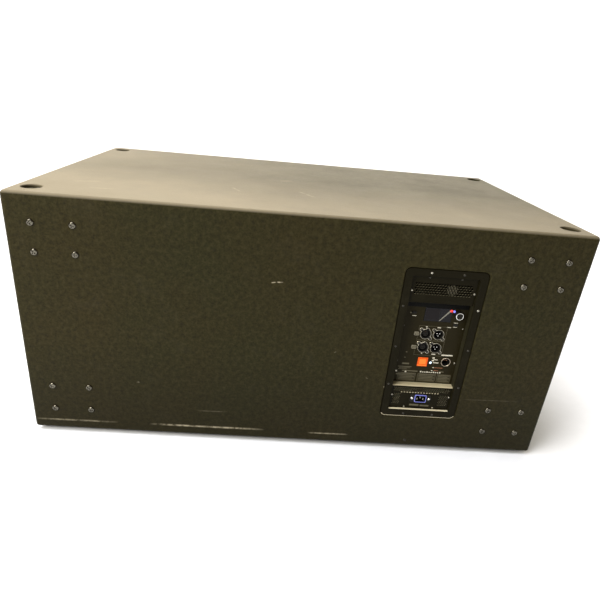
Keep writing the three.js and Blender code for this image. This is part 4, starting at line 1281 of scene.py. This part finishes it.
def signal_socket(node):
    x, z = SOCKETS[node]
    face, back = on_amp(node)[1]
    under, n = PLATE - 0.3, 96
    lobe = "input" in node
    build = Build(NICKEL, DARK, CHROME, BLACK_STEEL, PLASTIC)
    rings = circles(x, z, [(11, back), (11, under)], n)
    edges = ((under, 0), (face + 0.4, 0), (face, 0.35), (face, 0.85), (face + 0.3, 1.15))
    rings += [flange_outline(x, z, y, inset, lobe) for y, inset in edges]
    rings += circles(x, z, [(9.6, face + 0.4), (9.0, face + 1.0), (9.0, face + 16.4)], n)
    build.skin(rings, slots=[1, 1, 0, 0, 0, 4, 4, 1, 1])
    for sign in (-1, 1):
        add_screw(build, x + sign * EAR_X, z - sign * EAR_Z, face + 0.1, 2.2, 3, 0.5)
    contacts = [math.radians(a) for a in (30, 150, 270)]
    if "thru" in node:
        for a in contacts:
            px, pz = x + 3.6 * math.cos(a), z + 3.6 * math.sin(a)
            profile = [(1.2, face + 16.5), (1.2, face + 3.2), (0.9, face + 2.5), (0, face + 2.3)]
            build.turn(px, pz, profile, 14, slots=2)
    else:
        holes = [flat(circle(x + 3.6 * math.cos(a), z - 3.6 * math.sin(a), 1.25, 0, 14)) for a in contacts]
        build.sheet(flat(circle(x, z, 6.4, 0, 48)), face + 3.0, face + 16.5, openings=holes, slot=4)
        build.skin(circles(x, z, [(6.0, face + 12.0), (6.0, face + 16.4)], 48), slots=1)
    piece(node + "_socket", build, AMP, replaces=[node])


def network_socket():
    x, z, wide, _, face, back = spot("network_socket")
    r, n = wide / 2, 64
    build = Build(BRONZE, DARK, CHROME, COPPER)
    rows = [(r - 1, back), (r - 1, PLATE - 0.3), (r, PLATE - 0.3), (r, face + 0.6), (r - 0.4, face)]
    rings = circles(x, z, rows + [(r - 1.2, face), (r - 1.6, face + 0.5), (r - 2.2, face + 3.0)], n)
    build.skin(rings, caps=False, slots=[1, 1, 0, 0, 0, 0, 1])
    build.add(rings[0], [tuple(range(n))], 1)
    jack = flat(corners(x, z - 0.5, 12, 9.6, 0))
    build.sheet(flat(rings[-1]), face + 3.0, face + 15, openings=[jack], slot=1)
    for i in range(8):
        cx = x - 4.2 + 1.2 * i
        build.box(cx - 0.25, cx + 0.25, face + 5, face + 12, z + 2.6, z + 3.1, 3)
    piece("network_jack", build, AMP, replaces=["network_socket"])


def mains_inlet():
    """Mains inlet with a blue rim, three blades and two screws."""
    _, z, _, _, collar, back = spot("mains_inlet")
    seat = HOOD_FACE - 0.3
    build = Build(PLASTIC, BLUE, STEEL, CHROME, DARK)
    w, h, cavity_w, cavity_h, deep = 27.4, 19.6, 24.0, 16.4, 20.0
    rows = [(28, 20.4, 2.0, back), (28, 20.4, 2.0, seat), (49, 20, 4.4, seat), (49, 20, 4.4, seat - 1.4)]
    rows += [(48, 19, 4.0, seat - 2.0), (w, h, 2.4, seat - 2.0), (w, h, 2.4, collar + 0.6)]
    rows += [(w - 0.9, h - 0.9, 2.0, collar), (w - 2.4, h - 2.4, 1.8, collar)]
    rows += [(cavity_w, cavity_h, 1.6, collar + 0.7), (cavity_w, cavity_h, 1.6, deep)]
    build.skin(outlines(0, z, rows), slots=[0, 0, 0, 0, 0, 1, 1, 1, 1, 4])
    for x, dz in ((-7, -2), (0, 2), (7, -2)):
        build.box(x - 1, x + 1, 6.5, 20.5, z + dz - 2.5, z + dz + 2.5, 2, 0.4)
    for x in (-20, 20):
        add_screw(build, x, z, seat - 1.9, 3.1, 3, 1.6)
    piece("mains_socket", build, AMP, replaces=["mains_inlet"])


for node in sorted(frame["nodes"]):
    if node.startswith("xlr_"):
        signal_socket(node)
network_socket()
mains_inlet()


def fan_label():
    """Pale disc on the fan's hub, seen through the vent holes."""
    x, z, _, _, front, _ = spot("fan_rotor")
    build = Build(GREY)
    rows = ((0, 0.1), (11.4, 0.1), (11.4, -0.2), (10.8, -0.4), (0, -0.4))
    build.turn(x, z, [(r, front + y) for r, y in rows], 40)
    piece("fan_hub_label", build, AMP, "fan_rotor")


fan_label()

# ---------------------------------------------------------------- bass drivers

BAFFLE_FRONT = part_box("front_baffle")[0].y
COIL, CONE_EDGE, SEAT = 50.0, 190.0, 206.0  # radii
SPOKES, BOLTS, BOLT_CIRCLE = 8, 8, 223.5


def about_axis(points, angle):
    turn = Matrix.Rotation(angle, 4, "Y")
    return [tuple(turn @ Vector(p)) for p in points]


def basket(side, local):
    """Cast frame: front flange with bolts, eight spokes, and the seat of the spider and motor."""
    build = Build(ALUMINIUM, BLACK_STEEL)
    flange = [(214, -8.2), (231, -8.2), (233, -6.8), (233, -0.3), (SEAT, -0.3), (203.5, 16), (198, 16)]
    flange += [(201, -1), (214, -2)]
    build.turn(0, 0, flange, 96, closed=True)
    build.turn(0, 0, [(112, 106), (112, 134), (62, 134), (62, 130), (107, 130), (107, 106)], 72, closed=True)
    for k in range(SPOKES):
        angle = 2 * math.pi * (k + 0.5) / SPOKES
        spoke = []
        for share in (0.0, 0.25, 0.5, 0.75, 1.0):
            r, y = 200.5 - 91 * share, 10 + 100 * share - 8 * math.sin(math.pi * share)
            half = 21 - 9 * math.sin(math.pi * min(share * 1.2, 1.0))
            section = [(r - 3, y, -half), (r + 1.5, y - 4, -half), (r + 1.5, y - 4, half), (r - 3, y, half)]
            spoke.append(about_axis(section, angle))
        build.skin(spoke)
    for k in range(BOLTS):
        angle = 2 * math.pi * k / BOLTS
        x, z = BOLT_CIRCLE * math.cos(angle), BOLT_CIRCLE * math.sin(angle)
        profile = [(4.6, -8.0), (4.6, -9.6), (4.1, -10.2), (2.4, -10.2), (2.4, -8.6), (0, -8.6)]
        build.turn(x, z, profile, 18, slots=1)
    piece(f"basket_casting_{side}", build, local, replaces=[f"basket_{side}"])


def motor(side, local):
    """Front plate, ring magnet and vented back plate with its pole."""
    build = Build(FERRITE, BLACK_STEEL)
    front_plate = [(COIL + 4, 134.3), (99, 134.3), (100, 135.3), (100, 143), (COIL + 4, 143)]
    magnet = [(COIL + 12, 143.1), (106, 143.1), (108, 145), (108, 184), (106, 186), (COIL + 12, 186)]
    back_plate = [(18, 206), (90, 206), (98, 200), (100, 197), (100, 186.1)]
    back_plate += [(COIL - 2, 186.1), (COIL - 2, 131), (COIL - 4, 130), (16, 130), (16, 200)]
    build.turn(0, 0, front_plate, 64, closed=True, slots=[1] * len(front_plate))
    build.turn(0, 0, magnet, 64, closed=True)
    build.turn(0, 0, back_plate, 64, closed=True, slots=[1] * len(back_plate))
    piece(f"motor_stack_{side}", build, local, replaces=[f"motor_{side}"])


CONE_NECK, CONE_RISE = 82.6, 78.6  # depth where the cone meets the coil, and how far it comes forward


def cone_line(r):
    """Depth of the middle of the cone's paper at a radius."""
    share = (r - COIL - 1.2) / (CONE_EDGE - COIL - 1.2)
    return CONE_NECK - CONE_RISE * (0.72 * share + 0.28 * share ** 2)


def cone(side, local):
    """Curved paper cone with pressed rings and a domed dust cap."""
    build = Build(PAPER)
    steps = 28
    front, back = [], []
    for i in range(steps + 1):
        share = i / steps
        r = COIL + 1.2 + share * (CONE_EDGE - COIL - 1.2)
        y = cone_line(r)
        ring = 0.6 * max(0.0, math.sin(share * math.pi * 9)) if 0.45 < share < 0.92 else 0.0
        front.append((r, y - ring - 0.8))
        back.append((r, y - ring + 1.0))
    build.turn(0, 0, front + back[::-1], 96, closed=True)
    widest = 1.25  # the dome's half angle
    rim = math.cos(widest)
    angles = [widest * i / 12 for i in range(13)]
    cap = [(74 * math.sin(a), 66 - 22 * (math.cos(a) - rim) / (1 - rim)) for a in angles]
    inner = [(max(r - 1, 0), y + 1.4) for r, y in cap]
    build.turn(0, 0, cap + inner[::-1], 72)
    piece(f"cone_paper_{side}", build, local, f"cone_{side}", replaces=[f"cone_{side}"])


def ring_piece(name, node, side, local, middle_line, moving, still, slot):
    """A ring of cloth turned round the driver's axis from a line and baked into place; its CAD node is
    hidden.
    """
    build = Build(CLOTH)
    build.turn(0, 0, thickened(middle_line, 0.4), 96, closed=True)
    obj = make_object(name, build, local)
    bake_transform(obj)
    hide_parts(node)


def thickened(line, half):
    """A closed profile round a line of (radius, depth) points, half to each side of it."""
    front, back = [], []
    for i, (r, y) in enumerate(line):
        before, after = line[max(i - 1, 0)], line[min(i + 1, len(line) - 1)]
        along = Vector(after) - Vector(before)
        along.normalize()
        front.append((r + along.y * half, y - along.x * half))
        back.append((r - along.y * half, y + along.x * half))
    return front + back[::-1]


ROLL_START, ROLL_END = CONE_EDGE + 0.6, CONE_EDGE + 23.1
FLANGE_FACE = -8.2


def surround_line():
    """Two rolls of treated cloth, glued to the cone's face at one end and to the flange's at the other."""
    steps = 28
    line = [(r, cone_line(r) - 1.5) for r in (CONE_EDGE - 6.0, CONE_EDGE - 3.5, CONE_EDGE - 1.2)]
    for i in range(steps + 1):
        share = i / steps
        y = 1.6 - 19.4 * share + 9.1 * share ** 2 - 4.2 * abs(math.sin(2 * math.pi * share))
        line.append((ROLL_START + share * (ROLL_END - ROLL_START), y))
    return line + [(r, FLANGE_FACE - 0.5) for r in (ROLL_END + 1.4, ROLL_END + 4.6)]


SPIDER_INNER, SPIDER_OUTER = COIL + 0.6, 106.8


def spider_line():
    """Corrugated disc between the coil and the basket."""
    waves, steps = 6, 60
    line = []
    for i in range(steps + 1):
        share = i / steps
        fade = min(share * 8, (1 - share) * 8, 1.0)
        y = 108.7 + 2.0 * fade * math.sin(2 * math.pi * waves * share)
        line.append((SPIDER_INNER + (SPIDER_OUTER - SPIDER_INNER) * share, y))
    return line


def voice_coil(side, local):
    """Wound wire on its former, with a plain collar up to the cone."""
    build = Build(COPPER, PAPER)
    outside = [(COIL + 0.5, 84.3), (COIL + 0.5, 124)]
    windings = 22
    for i in range(windings):
        y = 124 + 46 * i / windings
        outside += [(COIL + 0.9, y + 0.4), (COIL + 1.5, y + 1.1), (COIL + 0.9, y + 1.8)]
    outside += [(COIL + 0.5, 172)]
    inside = [(COIL - 0.2, 172), (COIL - 0.2, 84.3)]
    build.turn(0, 0, outside + inside, 64, closed=True, slots=[1] + [0] * (len(outside) - 2) + [1] * 3)
    node = f"voice_coil_{side}"
    piece(f"coil_winding_{side}", build, local, f"cone_{side}", replaces=[node])


for side in ("left", "right"):
    hub = middle(f"motor_{side}")
    local = face_frame(hub.x, BAFFLE_FRONT, hub.z, 0)
    basket(side, local)
    motor(side, local)
    cone(side, local)
    voice_coil(side, local)
    ends = (surround_line(), ROLL_START, ROLL_END)
    ring_piece(f"surround_cloth_{side}", f"surround_{side}", side, local, *ends, slot="treated_cloth")
    ends = (spider_line(), SPIDER_INNER, SPIDER_OUTER)
    ring_piece(f"spider_cloth_{side}", f"spider_{side}", side, local, *ends, slot="treated_cloth")

bpy.context.view_layer.update()

# ---------------------------------------------------------------- materials of the CAD nodes that stay

KEPT = {
    "front_baffle": PAINT, "port_wall_left": PLYWOOD, "port_wall_right": PLYWOOD, "centre_brace": PLYWOOD,
    "amp_housing": PAINT, "amp_chassis": COAT, "control_panel": PANEL_COAT, "keypad_board": BOARD,
    "power_board": BOARD, "heat_sink": ALUMINIUM, "fan_frame": DARK, "fan_rotor": DARK,
    "encoder_shaft": STEEL,
}
for name, material in KEPT.items():
    mesh = frame["nodes"][name].data
    mesh.materials.clear()
    mesh.materials.append(material)

# ---------------------------------------------------------------- floor, light and camera


def floor():
    build = Build(moulded("pale_floor", (0.78, 0.81, 0.88), (0.81, 0.84, 0.91), 0.6, 40, 0.02, 0.2))
    build.add([(-9000, -9000, 0), (9000, -9000, 0), (9000, 9000, 0), (-9000, 9000, 0)], [(0, 1, 2, 3)])
    obj = make_object("floor", build, Matrix.Translation((0, 0, -0.0005)) @ ROW)


FAR_SKY, NEAR_SKY = 4.6, 0.26
SKY_COLOUR = (1.0, 0.90, 0.72, 1.0)


def world():
    """Warm surroundings: a bright far wall, low down beyond the cabinet, and a dimmer room."""
    w = bpy.data.worlds.new("studio")
    bpy.context.scene.world = w
    w.use_nodes = True
    tree = w.node_tree
    background = tree.nodes["Background"]
    place = tree.nodes.new("ShaderNodeTexCoord")
    split = tree.nodes.new("ShaderNodeSeparateXYZ")
    remap = tree.nodes.new("ShaderNodeMapRange")
    for key, value in (("From Min", -0.92), ("From Max", -0.55), ("To Min", FAR_SKY), ("To Max", NEAR_SKY)):
        remap.inputs[key].default_value = value
    tree.links.new(place.outputs["Generated"], split.inputs[0])
    tree.links.new(split.outputs[1], remap.inputs["Value"])
    tree.links.new(remap.outputs[0], background.inputs["Strength"])
    background.inputs["Color"].default_value = SKY_COLOUR


def sun(towards, strength, angle, colour):
    """A broad, soft overhead light, as far away as a high studio ceiling."""
    light = bpy.data.lights.new("overhead", "SUN")
    light.energy = strength
    light.angle = math.radians(angle)
    light.color = colour
    obj = bpy.data.objects.new("overhead", light)
    obj.rotation_mode = "QUATERNION"
    obj.rotation_quaternion = (-Vector(towards)).to_track_quat("-Z", "Y")
    bpy.context.scene.collection.objects.link(obj)


def area_light(name, at, target, size, power, colour):
    light = bpy.data.lights.new(name, "AREA")
    light.shape = "RECTANGLE"
    light.size, light.size_y = size
    light.energy = power
    light.color = colour
    obj = bpy.data.objects.new(name, light)
    obj.location = at
    direction = Vector(target) - Vector(at)
    obj.rotation_mode = "QUATERNION"
    obj.rotation_quaternion = direction.to_track_quat("-Z", "Y")
    bpy.context.scene.collection.objects.link(obj)


# The camera was solved from the cabinet's corners and screws, in the rear face's own frame.
CAMERA = {
    "x": 0.06307, "behind": 0.93433, "above_base": 0.7756, "yaw": 0.06169, "pitch": 0.41176, "roll": 0.09363,
}
LENS = 29.2335


def camera():
    data = bpy.data.cameras.new("camera")
    data.lens = LENS
    data.sensor_width = 36.0
    obj = bpy.data.objects.new("camera", data)
    bpy.context.scene.collection.objects.link(obj)
    yaw, pitch, roll = CAMERA["yaw"], CAMERA["pitch"], CAMERA["roll"]
    forward = Vector((-math.sin(yaw) * math.cos(pitch), -math.cos(yaw) * math.cos(pitch), -math.sin(pitch)))
    right = Vector((-math.cos(yaw), math.sin(yaw), 0))
    down = forward.cross(right)
    image_x = right * math.cos(roll) - down * math.sin(roll)
    image_down = right * math.sin(roll) + down * math.cos(roll)
    rotation = Matrix((image_x, -image_down, -forward)).transposed()
    place = (CAMERA["x"], REAR_FACE + CAMERA["behind"], SHELL_LOW.z + CAMERA["above_base"])
    obj.matrix_world = Matrix.Translation(place) @ rotation.to_4x4()
    bpy.context.scene.camera = obj


floor()
world()
sun((0.42, 0.07, 0.90), 3.9, 40, (1.0, 0.98, 0.96))
area_light("side_softbox", (2.0, 1.9, 1.7), (0.6, REAR_FACE, 0.50), (1.2, 1.0), 72, (1.0, 0.95, 0.84))
camera()
bpy.context.scene.view_settings.view_transform = "Standard"
